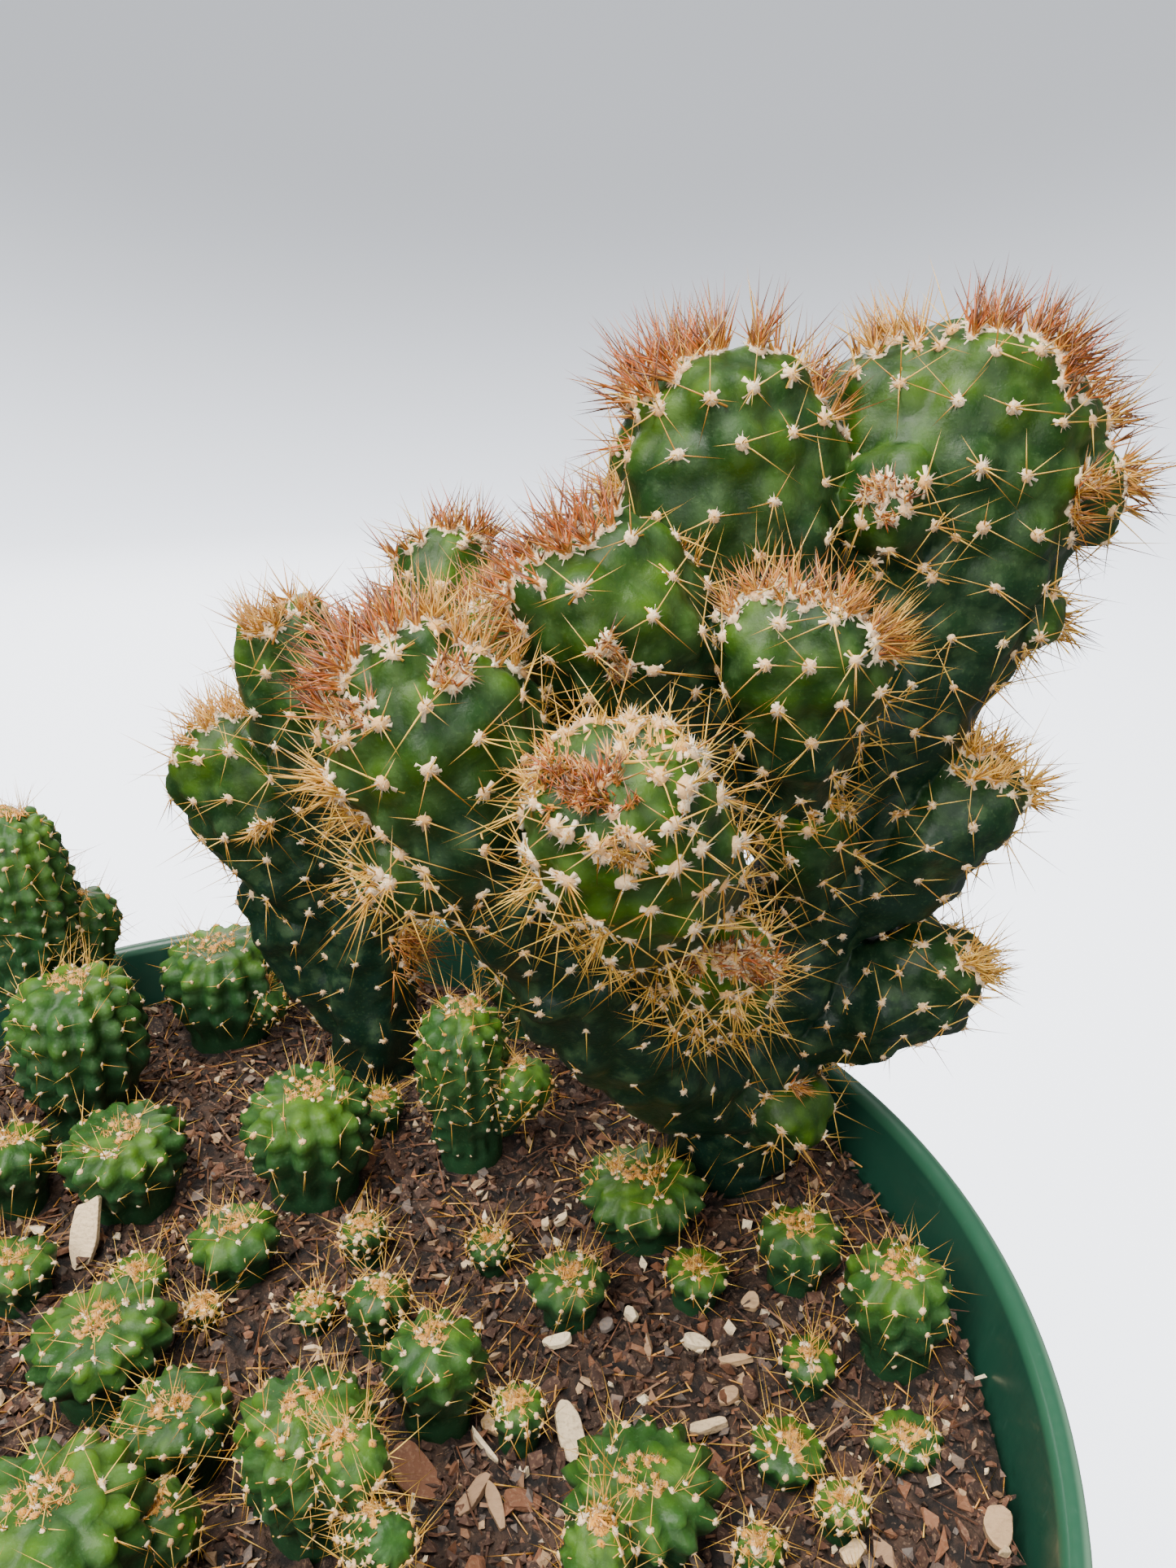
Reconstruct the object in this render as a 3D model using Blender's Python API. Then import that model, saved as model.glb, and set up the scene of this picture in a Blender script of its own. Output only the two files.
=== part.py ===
"""A crested Peruvian apple cactus with its colony of offsets, in a round green nursery pot.

Lengths in the tables are millimetres and become metres where a mesh is made.
The origin is the middle of the pot's flat base and +Z is up. The big crested clump stands by the
pot's wall on the +X side and leans out over the rim. The low offsets fill the rest of the soil.
Every shoot is one ribbed stem with a tubercle under each areole. Spines are three-sided needles
with their roots sunk in the stem, and each plant is joined into one closed body.
"""

import math
import random
from dataclasses import dataclass

import bmesh
import bpy
from mathutils import Vector, noise
from mathutils.bvhtree import BVHTree

MM = 0.001
GAP = 0.35                    # clearance between pieces that touch
SEED = 20
SHARP_ANGLE = 38.0            # degrees between faces past which an edge looks sharp

# Pot: a ten inch nursery pot with a rolled lip
POT_SIDES = 40
RIM_RADIUS = 127.0
POT_HEIGHT = 190.0
BASE_RADIUS = 92.0
WALL = 2.6
FLOOR = 3.2
LIP_WIDTH = 4.2               # how wide the rolled lip looks from above
LIP_DROP = 15.0               # how far the lip's band reaches down outside
LIP_ROUND = 2.2               # height of the rounding inside the lip
BAND_STEP = 2.2               # how far the band stands out from the wall
BAND_SLOPE = 1.5              # height of the slope under the band
OUTER_ROUND = (1.4, 1.6)      # the lip's outer rounding: inwards, downwards
INNER_ROUND = (1.2, 0.3)      # the lip's inner rounding: outwards, downwards
FOOT_BEVEL = 3.0
DRAIN_HOLES = 8
DRAIN_RADIUS = 5.5
DRAIN_CIRCLE = 68.0
DRAIN_SIDES = 10
CUT_PAST = 5.0                # how far a drill reaches past the floor on both sides

# Soil: a bark and grit mix, filled to a finger below the rim
SOIL_DROP = 15.0
SOIL_LEVEL = POT_HEIGHT - SOIL_DROP
SOIL_RELIEF = 1.6
SOIL_BUMP_SIZE = 17.0
SOIL_RINGS = 5
CHIP_COUNT = 9
CHIP_LENGTH = (6.0, 11.0)
CHIP_WIDTH = (0.4, 0.6)       # as a share of the length
CHIP_THICKNESS = 3.6
CHIP_SINK = 2.5
CHIP_TILT = 0.25
CHIP_TOP = 0.8                # size of a flake's top over its bottom
CHIP_OUTLINE = ((-0.5, -0.35), (0.35, -0.5), (0.5, 0.3), (-0.3, 0.5))
CHIP_MARGIN = 9.0             # clearance from the pot's wall
CHIP_STEM_MARGIN = 2.0        # clearance from a stem, beyond the flake's own reach
CHIP_REACH = 0.6              # a flake's reach from its middle, as a share of its length
HOLE_TOP = 20.0               # how far a stem hole's cutter reaches above the soil

# Growth
ROOT_DEPTH = 9.0              # how deep an offset's foot stands in its hole
TRUNK_DEPTH = 14.0
NECK = 3.4                    # plain neck above the soil before the ribs begin
GROOVE = 0.17                 # depth of the valleys between ribs, as a share of the radius
TUBERCLE = 0.11               # rise of the tubercle under each areole
DOME_POWER = 2.6
MIN_TOP_RADIUS = 2.2
RING_STEP = 8.0               # distance between rows of areoles along the skin
AXIS_SAMPLES = 60
WELD = 0.004                  # points nearer than this are merged after a union

# Spines
SPINE_RADIUS = 0.33
SPINE_SINK = 1.8
SPINE_INSET = 0.4             # how far a spine's root is drawn towards the middle of its facet
AREOLE_RADIUS = 1.2
SPINE_LENGTH = (8.0, 13.0)
CREST_SPINE_LENGTH = (8.0, 12.0)
SPINE_SPREAD = (22.0, 55.0)   # degrees between a spine and the skin's normal
CREST_SPREAD = (0.0, 24.0)
CREST_START = 0.62            # share of the dome above which areoles belong to the crest
SPINE_CLEAR = 0.7             # least distance between a spine and another plant
SPINE_TRIES = 7
LEAST_SPINE = 4.0
SPINE_RETRY_CUT = 0.09        # how much shorter each further try is
SPINE_PROBE = 1.2             # spacing of the points that test a spine's clearance
SPINE_FREE = 2.5              # length by the root where a spine may touch its own plant
GOLDEN_ANGLE = math.pi * (3.0 - math.sqrt(5.0))
CREST_JITTER = 0.2            # radians
CREST_DEPTH = 0.45            # share of the dome that the crest's spines cover
CREST_GATHER = 1.4            # above 1, they gather at the top
CREST_TOP = 0.995
CREST_SINK = 0.97
CREST_HEART = 0.25            # how far below the dome the crest's spines fan out from
LOWEST_HEART = 0.2

# Low offsets: each class is its least radius, then ribs, spines, crest spines and rows
OFFSET_CLASSES = ((8.0, 6, 4, 2, 4), (5.5, 5, 3, 1, 4), (0.0, 5, 2, 1, 3))
OFFSET_DOME = 0.6             # share of the radius that the dome adds to the skin's length
OFFSET_NECK = 0.25            # a neck is at most this share of the height
OFFSET_FOOT = 0.78            # foot radius over head radius
OFFSET_SWELL = 0.42
OFFSET_SHOULDER = 0.58
TWIN_FOOT = 0.7
TWIN_SWELL = 0.5
TWIN_SHOULDER = 0.6
TWIN_INWARD = 0.55            # how far towards the first crown a second one has its foot
TWIN_RISE = 0.35              # height of that foot, as a share of the crown's


@dataclass(frozen=True)
class Shoot:
    """One stem or head: an axis from its foot to its crown."""
    foot: tuple
    crown: tuple
    foot_radius: float
    head_radius: float
    ribs: int = 6
    flat: float = 1.0         # thickness of a crested head over its width
    turn: float = 0.0         # degrees from +X to the crest's direction, seen from above
    bend: tuple = (0.0, 0.0, 0.0)
    swell: float = 0.6        # share of the axis where the full width is reached
    shoulder: float = 0.62    # share of the axis where the dome begins
    root: float = 0.0         # length of the plain round root below the foot, upright in its hole
    spines: int = 8
    crest_spines: int = 5
    step: float = RING_STEP


# The big clump: the trunk by the wall, its limbs and their heads
CLUMP = (
    Shoot((85, 55, SOIL_LEVEL + NECK), (100, 51, 252), 13.0, 11.5, ribs=6,
          root=TRUNK_DEPTH + NECK, swell=0.5, shoulder=0.8, spines=4, crest_spines=0, step=11),
    Shoot((80, 54, 190), (52, 38, 240), 10.0, 12.0, ribs=6, bend=(-2, 0, -4),
          swell=0.5, shoulder=0.7, spines=5, crest_spines=0, step=10),
    # the tall right-hand head, a broad fan on a thick stalk
    Shoot((99, 51, 236), (116, 52, 333), 8.5, 22.0, ribs=8, flat=0.72, turn=-8, bend=(1, 0, 0),
          swell=0.74, shoulder=0.73, spines=18, crest_spines=10, step=9),
    Shoot((110, 48, 297), (98, 36, 314), 6.0, 8.0, ribs=4, spines=2, crest_spines=2, step=8),
    Shoot((120, 52, 306), (140, 50, 310), 9.0, 8.5, ribs=4, spines=2, crest_spines=4, step=8),
    Shoot((116, 51, 292), (132, 47, 289), 7.0, 7.0, ribs=4, spines=2, crest_spines=2, step=8),
    Shoot((108, 54, 274), (125, 60, 283), 6.0, 6.5, ribs=4, spines=1, crest_spines=3, step=8),
    # the middle head beside it
    Shoot((92, 50, 252), (74, 43, 330), 8.0, 18.2, ribs=7, flat=0.8, turn=6, bend=(-2, 0, 0),
          swell=0.7, shoulder=0.66, spines=14, crest_spines=10, step=8.5),
    # two heads in front of it and lower, and one behind them
    Shoot((80, 44, 258), (53, 21, 307), 9.0, 14.5, ribs=6, flat=0.88, turn=20,
          swell=0.7, shoulder=0.62, spines=11, crest_spines=7, step=8),
    Shoot((90, 44, 256), (85, 19, 299), 8.0, 13.0, ribs=6, flat=0.72, turn=-20,
          swell=0.7, shoulder=0.62, spines=8, crest_spines=8, step=8),
    Shoot((64, 46, 240), (40, 44, 294), 8.0, 12.0, ribs=6, spines=9, crest_spines=6, step=9),
    # the low limb that reaches to the left, and the heads it carries
    Shoot((84, 52, 192), (50, 22, 250), 10.0, 13.0, ribs=6, bend=(-4, -2, -4), swell=0.5,
          shoulder=0.8, spines=5, crest_spines=0, step=11),
    Shoot((56, 24, 240), (28.5, 10, 297), 10.0, 15.2, ribs=7, flat=0.85, turn=25, bend=(0, -3, -2),
          swell=0.55, shoulder=0.6, spines=14, crest_spines=9, step=8.5),
    Shoot((42, 16, 256), (26, 4, 268), 5.5, 6.0, ribs=4, spines=2, crest_spines=4, step=8),
    Shoot((67, 22, 246), (58.6, -17, 289.5), 9.0, 13.3, ribs=7, flat=0.92, turn=0, bend=(1, 0, -3),
          swell=0.6, shoulder=0.6, spines=12, crest_spines=8, step=8),
    Shoot((76, 36, 226), (74.5, -1, 257), 6.5, 8.6, ribs=6, flat=0.9, turn=0, bend=(0, 0, -4),
          swell=0.6, shoulder=0.6, spines=7, crest_spines=5, step=7.5),
    # heads behind the front ones and over the rim
    Shoot((96, 50, 234), (89.5, 33, 266), 6.5, 8.0, ribs=4, spines=3, crest_spines=3, step=8),
    Shoot((97, 51, 230), (124, 48, 268), 8.0, 12.0, ribs=6, bend=(4, 0, -4), spines=9,
          crest_spines=5, step=8),
    Shoot((94, 52, 208), (124.5, 46, 230), 8.5, 11.5, ribs=6, bend=(2, 0, -4), spines=8,
          crest_spines=4, step=8),
    # two young shoots at the trunk's foot
    Shoot((89, 51, 187), (98, 42, 198), 6.5, 8.0, ribs=5, spines=4, crest_spines=2, step=7),
    Shoot((90, 58, 188), (104, 60, 204), 5.5, 6.0, ribs=4, spines=2, crest_spines=2, step=7),
    # shoots on the side that faces the wall
    Shoot((96, 54, 238), (84, 74, 272), 7.0, 11.0, ribs=6, spines=8, crest_spines=4, step=8.5),
    Shoot((90, 58, 204), (78, 80, 226), 7.0, 9.0, ribs=5, spines=6, crest_spines=2, step=8.5),
)

# The slim clump at the back left, on a root of its own
BACK_CLUMP = (
    Shoot((8, 84, SOIL_LEVEL + NECK), (8, 82, 232), 9.5, 10.0, ribs=5,
          root=ROOT_DEPTH + NECK, swell=0.4, shoulder=0.75, spines=3, crest_spines=0, step=12),
    Shoot((4, 84, 190), (-9, 82, 236), 7.5, 10.0, ribs=5, bend=(-5, 0, -4), spines=3,
          crest_spines=0, step=11),
    Shoot((6, 83, 212), (-16, 79, 262), 7.5, 14.5, ribs=6, flat=0.9, spines=9, crest_spines=5,
          bend=(-4, 0, -3), step=9),
    Shoot((8, 81, 222), (0, 72, 286), 6.5, 10.8, ribs=5, spines=6, crest_spines=5, step=9),
    Shoot((10, 81, 214), (32, 75, 299), 7.0, 13.0, ribs=6, flat=0.85, bend=(4, 0, -6),
          spines=8, crest_spines=5, step=9.5),
)


@dataclass(frozen=True)
class Offset:
    """One low offset, or a few grown together: (x, y, radius, height) for each crown."""
    name: str
    crowns: tuple
    lean: tuple = (0.0, 0.0)


OFFSETS = (
    # back row
    Offset("offset_left_edge", ((-65, 86, 9.6, 63), (-56, 95.5, 7.0, 39))),
    Offset("offset_left_rear", ((-49.5, 66.5, 12.6, 34),)),
    Offset("offset_rear", ((-29, 97.5, 12.6, 24.5), (-15.5, 93, 5.0, 14))),
    Offset("offset_tall", ((32.4, 54.8, 8.8, 36), (46.6, 52, 5.0, 24)), (-1, -2)),
    Offset("offset_brown", ((12.6, 62.2, 5.2, 8.6),)),
    Offset("offset_middle", ((2.4, 45.2, 11.8, 23),)),
    Offset("offset_left", ((-32.5, 41.8, 11.1, 17),)),
    Offset("offset_far_left", ((-54.4, 41.5, 7.3, 14.5),)),
    # middle rows
    Offset("offset_front_middle", ((-6.6, 23, 7.4, 11),)),
    Offset("offset_left_front", ((-43.3, 17.8, 6.5, 9),)),
    Offset("offset_low_left", ((-21.7, 0.2, 10.6, 13),)),
    Offset("offset_pair_rear", ((21.6, 8.2, 5.2, 11.5),)),
    Offset("offset_pair_front", ((32.6, -6.5, 7.2, 17.5),)),
    Offset("offset_ball", ((-8.8, 10.2, 3.2, 6.4),)),
    Offset("offset_button_a", ((-22.8, 18.8, 5.0, 5.0),)),
    Offset("offset_button_b", ((38.6, 24.5, 4.0, 6.4),)),
    Offset("offset_button_c", ((45.6, -10, 4.4, 8.0),)),
    Offset("offset_button_d", ((53.2, 14, 6.4, 10.0),)),
    Offset("offset_button_e", ((9.6, 11.5, 4.0, 5.2),)),
    Offset("offset_button_f", ((15.7, 26.5, 4.2, 7.7),)),
    Offset("offset_low_b", ((-5.3, -14, 8.2, 11.7),)),
    # right-hand side
    Offset("offset_right", ((66.4, 35, 10.8, 12), (59.6, 38.5, 4.6, 10))),
    Offset("offset_right_edge", ((107.4, 5, 8.0, 19.6),), (-2, 0)),
    Offset("offset_right_brown", ((75, 17.5, 5.4, 7.0),)),
    Offset("offset_right_rear", ((93.2, 21.2, 6.7, 12.7),)),
    Offset("offset_right_mid", ((91.7, 0, 4.4, 6.2),)),
    Offset("offset_right_low", ((86, -15.5, 5.5, 5.8),)),
    Offset("offset_right_low_b", ((104.1, -13.5, 5.6, 5.0),)),
    Offset("offset_front_big", ((63.9, -24.8, 10.3, 12), (56.2, -37, 4.8, 13))),
    Offset("offset_tiny_a", ((79.5, -31.2, 3.5, 7.5),)),
    Offset("offset_tiny_b", ((92.3, -24.5, 3.6, 6.2),)),
    # front rows
    Offset("offset_lobed", ((17.2, -23, 9.2, 23), (26.3, -31, 5.0, 24), (32, -40, 4.0, 20))),
    Offset("offset_corner", ((-13.4, -36, 12.0, 22), (1.3, -28.2, 5.0, 10.3))),
    Offset("offset_front_a", ((-34, -61, 10.0, 27),), (0, 2)),
    Offset("offset_front_b", ((14, -72, 10.5, 28),), (1, 0)),
    Offset("offset_front_c", ((42, -70, 8.0, 20),)),
    Offset("offset_front_d", ((84, -56, 9.0, 25),), (2, 0)),
    Offset("offset_front_e", ((-12, -90, 8.4, 19),)),
    Offset("offset_front_f", ((54, -95, 7.4, 17),)),
    Offset("offset_front_g", ((-52, -84, 9.0, 23),), (-2, -1)),
    # left-hand side, past the picture's edge
    Offset("offset_side_a", ((-76, 44, 9.0, 26),)),
    Offset("offset_side_b", ((-68, 10, 10.6, 30),), (-1, 0)),
    Offset("offset_side_c", ((-94, 12, 7.4, 17),)),
    Offset("offset_side_d", ((-56, -22, 9.2, 24),)),
    Offset("offset_side_e", ((-84, -24, 10.0, 27), (-92, -38, 6.0, 17))),
    Offset("offset_side_f", ((-76, -60, 8.2, 20),)),
    # by the wall behind
    Offset("offset_wall", ((42, 98, 8.6, 24),)),
)

# Colours, as linear base colours
POT_GREEN = (0.020, 0.075, 0.042)
SOIL_BROWN = (0.050, 0.030, 0.020)
OLD_GREEN = (0.022, 0.085, 0.038)
YOUNG_GREEN = (0.040, 0.130, 0.045)


def material(name, colour, roughness):
    """A plain Principled material."""
    made = bpy.data.materials.new(name)
    made.use_nodes = True
    shader = made.node_tree.nodes["Principled BSDF"]
    shader.inputs["Base Color"].default_value = (*colour, 1.0)
    shader.inputs["Roughness"].default_value = roughness
    shader.inputs["Metallic"].default_value = 0.0
    return made


def mesh_object(name, vertices, faces, finish=None):
    """An object from points in millimetres, its faces split into triangles."""
    mesh = bpy.data.meshes.new(name)
    mesh.from_pydata([Vector(point) * MM for point in vertices], [], faces)
    bm = bmesh.new()
    bm.from_mesh(mesh)
    bmesh.ops.recalc_face_normals(bm, faces=bm.faces)
    bmesh.ops.triangulate(bm, faces=bm.faces)
    bm.to_mesh(mesh)
    bm.free()
    made = bpy.data.objects.new(name, mesh)
    bpy.context.scene.collection.objects.link(made)
    if finish:
        mesh.materials.append(finish)
    return made


def lathe(name, profile, sides, finish=None):
    """A turned solid from a profile of (radius, height) that starts and ends on the axis."""
    vertices = [(0.0, 0.0, profile[0][1])]
    rings = profile[1:-1]
    for radius, height in rings:
        for side in range(sides):
            angle = 2 * math.pi * side / sides
            vertices.append((radius * math.cos(angle), radius * math.sin(angle), height))
    vertices.append((0.0, 0.0, profile[-1][1]))
    last = len(vertices) - 1
    faces = []
    for side in range(sides):
        follow = (side + 1) % sides
        faces.append((0, 1 + follow, 1 + side))
        top = 1 + (len(rings) - 1) * sides
        faces.append((last, top + side, top + follow))
        for ring in range(len(rings) - 1):
            low = 1 + ring * sides
            high = low + sides
            faces.append((low + side, low + follow, high + follow, high + side))
    return mesh_object(name, vertices, faces, finish)


def prism(name, centre, radius, low, high, sides):
    """An upright prism, used for holes."""
    ring = []
    for side in range(sides):
        angle = 2 * math.pi * side / sides
        ring.append((centre[0] + radius * math.cos(angle), centre[1] + radius * math.sin(angle)))
    vertices = [(x, y, low) for x, y in ring] + [(x, y, high) for x, y in ring]
    faces = [tuple(range(sides)), tuple(range(sides, 2 * sides))]
    faces += [(i, (i + 1) % sides, sides + (i + 1) % sides, sides + i) for i in range(sides)]
    return mesh_object(name, vertices, faces)


def combine(target, pieces, operation):
    """Apply one Boolean of a collection of pieces to the target, and remove the pieces."""
    group = bpy.data.collections.new(target.name + "_pieces")
    for piece in pieces:
        group.objects.link(piece)
    modifier = target.modifiers.new("join", "BOOLEAN")
    modifier.operation = operation
    modifier.solver = "EXACT"
    modifier.operand_type = "COLLECTION"
    modifier.collection = group
    graph = bpy.context.evaluated_depsgraph_get()
    graph.update()
    result = bpy.data.meshes.new_from_object(target.evaluated_get(graph))
    target.modifiers.remove(modifier)
    target.data = result
    for piece in pieces:
        bpy.data.objects.remove(piece)
    bpy.data.collections.remove(group)
    return target


def keep_main_body(target, finish):
    """Drop loose scraps and sealed hollows: only the largest skin stays."""
    bm = bmesh.new()
    bm.from_mesh(target.data)
    bmesh.ops.remove_doubles(bm, verts=bm.verts, dist=WELD * MM)
    bmesh.ops.triangulate(bm, faces=bm.faces)
    islands = []
    unseen = set(bm.verts)
    while unseen:
        island = set()
        edge = [unseen.pop()]
        while edge:
            vertex = edge.pop()
            island.add(vertex)
            for link in vertex.link_edges:
                other = link.other_vert(vertex)
                if other in unseen:
                    unseen.remove(other)
                    edge.append(other)
        islands.append(island)
    islands.sort(key=len)
    for scrap in islands[:-1]:
        bmesh.ops.delete(bm, geom=list(scrap), context="VERTS")
    bm.to_mesh(target.data)
    bm.free()
    target.data.materials.clear()
    target.data.materials.append(finish)
    for polygon in target.data.polygons:
        polygon.material_index = 0
    return target


def wall_radius(height):
    """The pot's outer radius at a height, below the lip's band."""
    share = height / POT_HEIGHT
    return BASE_RADIUS + (RIM_RADIUS - BAND_STEP - BASE_RADIUS) * share


def build_pot(finish):
    """The turned pot with its rolled lip and the drainage holes in its floor."""
    lip_low = POT_HEIGHT - LIP_DROP
    inner_top = RIM_RADIUS - LIP_WIDTH
    profile = (
        (0.0, 0.0),
        (BASE_RADIUS - FOOT_BEVEL, 0.0),
        (BASE_RADIUS, FOOT_BEVEL),
        (wall_radius(lip_low), lip_low),
        (RIM_RADIUS, lip_low + BAND_SLOPE),
        (RIM_RADIUS, POT_HEIGHT - OUTER_ROUND[1]),
        (RIM_RADIUS - OUTER_ROUND[0], POT_HEIGHT),
        (inner_top + INNER_ROUND[0], POT_HEIGHT - INNER_ROUND[1]),
        (inner_top, POT_HEIGHT - LIP_ROUND),
        (BASE_RADIUS - WALL, FLOOR),
        (0.0, FLOOR),
    )
    pot = lathe("pot", profile, POT_SIDES, finish)
    holes = []
    for index in range(DRAIN_HOLES):
        angle = 2 * math.pi * (index + 0.5) / DRAIN_HOLES
        centre = (DRAIN_CIRCLE * math.cos(angle), DRAIN_CIRCLE * math.sin(angle))
        holes.append(prism("drain", centre, DRAIN_RADIUS, -CUT_PAST, FLOOR + CUT_PAST, DRAIN_SIDES))
    combine(pot, holes, "DIFFERENCE")
    pot.data.shade_smooth()
    pot.data.set_sharp_from_angle(angle=math.radians(SHARP_ANGLE))
    return pot


def inner_radius(height):
    """The pot's inner radius at a height."""
    low = BASE_RADIUS - WALL
    high = RIM_RADIUS - LIP_WIDTH
    return low + (high - low) * (height - FLOOR) / (POT_HEIGHT - LIP_ROUND - FLOOR)


def soil_height(x, y):
    """The soil's surface, with low bumps."""
    spot = Vector((x, y, 0.0)) / SOIL_BUMP_SIZE
    return SOIL_LEVEL + SOIL_RELIEF * noise.noise(spot)


def chip(rng, name, x, y):
    """A flat flake of bark, half sunk in the soil."""
    length = rng.uniform(*CHIP_LENGTH)
    width = length * rng.uniform(*CHIP_WIDTH)
    turn = rng.uniform(0.0, math.pi)
    tilt = rng.uniform(-CHIP_TILT, CHIP_TILT)
    low = soil_height(x, y) - CHIP_SINK
    corners = []
    for height, inset in ((0.0, 1.0), (CHIP_THICKNESS, CHIP_TOP)):
        for u, v in CHIP_OUTLINE:
            along = u * length * inset
            across = v * width * inset
            corners.append((
                x + along * math.cos(turn) - across * math.sin(turn),
                y + along * math.sin(turn) + across * math.cos(turn),
                low + height + along * tilt,
            ))
    faces = [(0, 1, 2, 3), (4, 5, 6, 7)]
    faces += [(i, (i + 1) % 4, 4 + (i + 1) % 4, 4 + i) for i in range(4)]
    return mesh_object(name, corners, faces)


def build_soil(finish, stems):
    """The soil that fills the pot, with bark flakes on top and a plain hole for each stem."""
    edge = inner_radius(SOIL_LEVEL) - GAP
    floor_edge = inner_radius(FLOOR) - GAP
    vertices = [(0.0, 0.0, FLOOR + GAP)]
    for side in range(POT_SIDES):
        angle = 2 * math.pi * side / POT_SIDES
        vertices.append((floor_edge * math.cos(angle), floor_edge * math.sin(angle), FLOOR + GAP))
    for ring in range(SOIL_RINGS, 0, -1):
        radius = edge * ring / SOIL_RINGS
        for side in range(POT_SIDES):
            angle = 2 * math.pi * side / POT_SIDES
            x = radius * math.cos(angle)
            y = radius * math.sin(angle)
            height = SOIL_LEVEL if ring == SOIL_RINGS else soil_height(x, y)
            vertices.append((x, y, height))
    vertices.append((0.0, 0.0, soil_height(0.0, 0.0)))
    last = len(vertices) - 1
    faces = []
    for side in range(POT_SIDES):
        follow = (side + 1) % POT_SIDES
        faces.append((0, 1 + follow, 1 + side))
        for ring in range(SOIL_RINGS):
            low = 1 + ring * POT_SIDES
            high = low + POT_SIDES
            faces.append((low + side, low + follow, high + follow, high + side))
        top = 1 + SOIL_RINGS * POT_SIDES
        faces.append((last, top + side, top + follow))
    soil = mesh_object("soil", vertices, faces, finish)
    rng = random.Random(SEED)
    chips = []
    while len(chips) < CHIP_COUNT:
        radius = (edge - CHIP_MARGIN) * math.sqrt(rng.random())
        angle = rng.uniform(0.0, 2 * math.pi)
        x = radius * math.cos(angle)
        y = radius * math.sin(angle)
        apart = min(math.hypot(x - sx, y - sy) - sr for sx, sy, sr, _, _ in stems)
        if apart > CHIP_LENGTH[1] * CHIP_REACH + CHIP_STEM_MARGIN:
            chips.append(chip(rng, f"chip_{len(chips)}", x, y))
    combine(soil, chips, "UNION")
    holes = []
    for index, (x, y, radius, low, sides) in enumerate(stems):
        reach = radius + GAP / math.cos(math.pi / sides)
        top = SOIL_LEVEL + HOLE_TOP
        holes.append(prism(f"hole_{index}", (x, y), reach, low - GAP, top, sides))
    combine(soil, holes, "DIFFERENCE")
    return keep_main_body(soil, finish)


def smooth(value):
    """An S-shaped step from 0 to 1."""
    value = min(max(value, 0.0), 1.0)
    return value * value * (3.0 - 2.0 * value)


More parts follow.
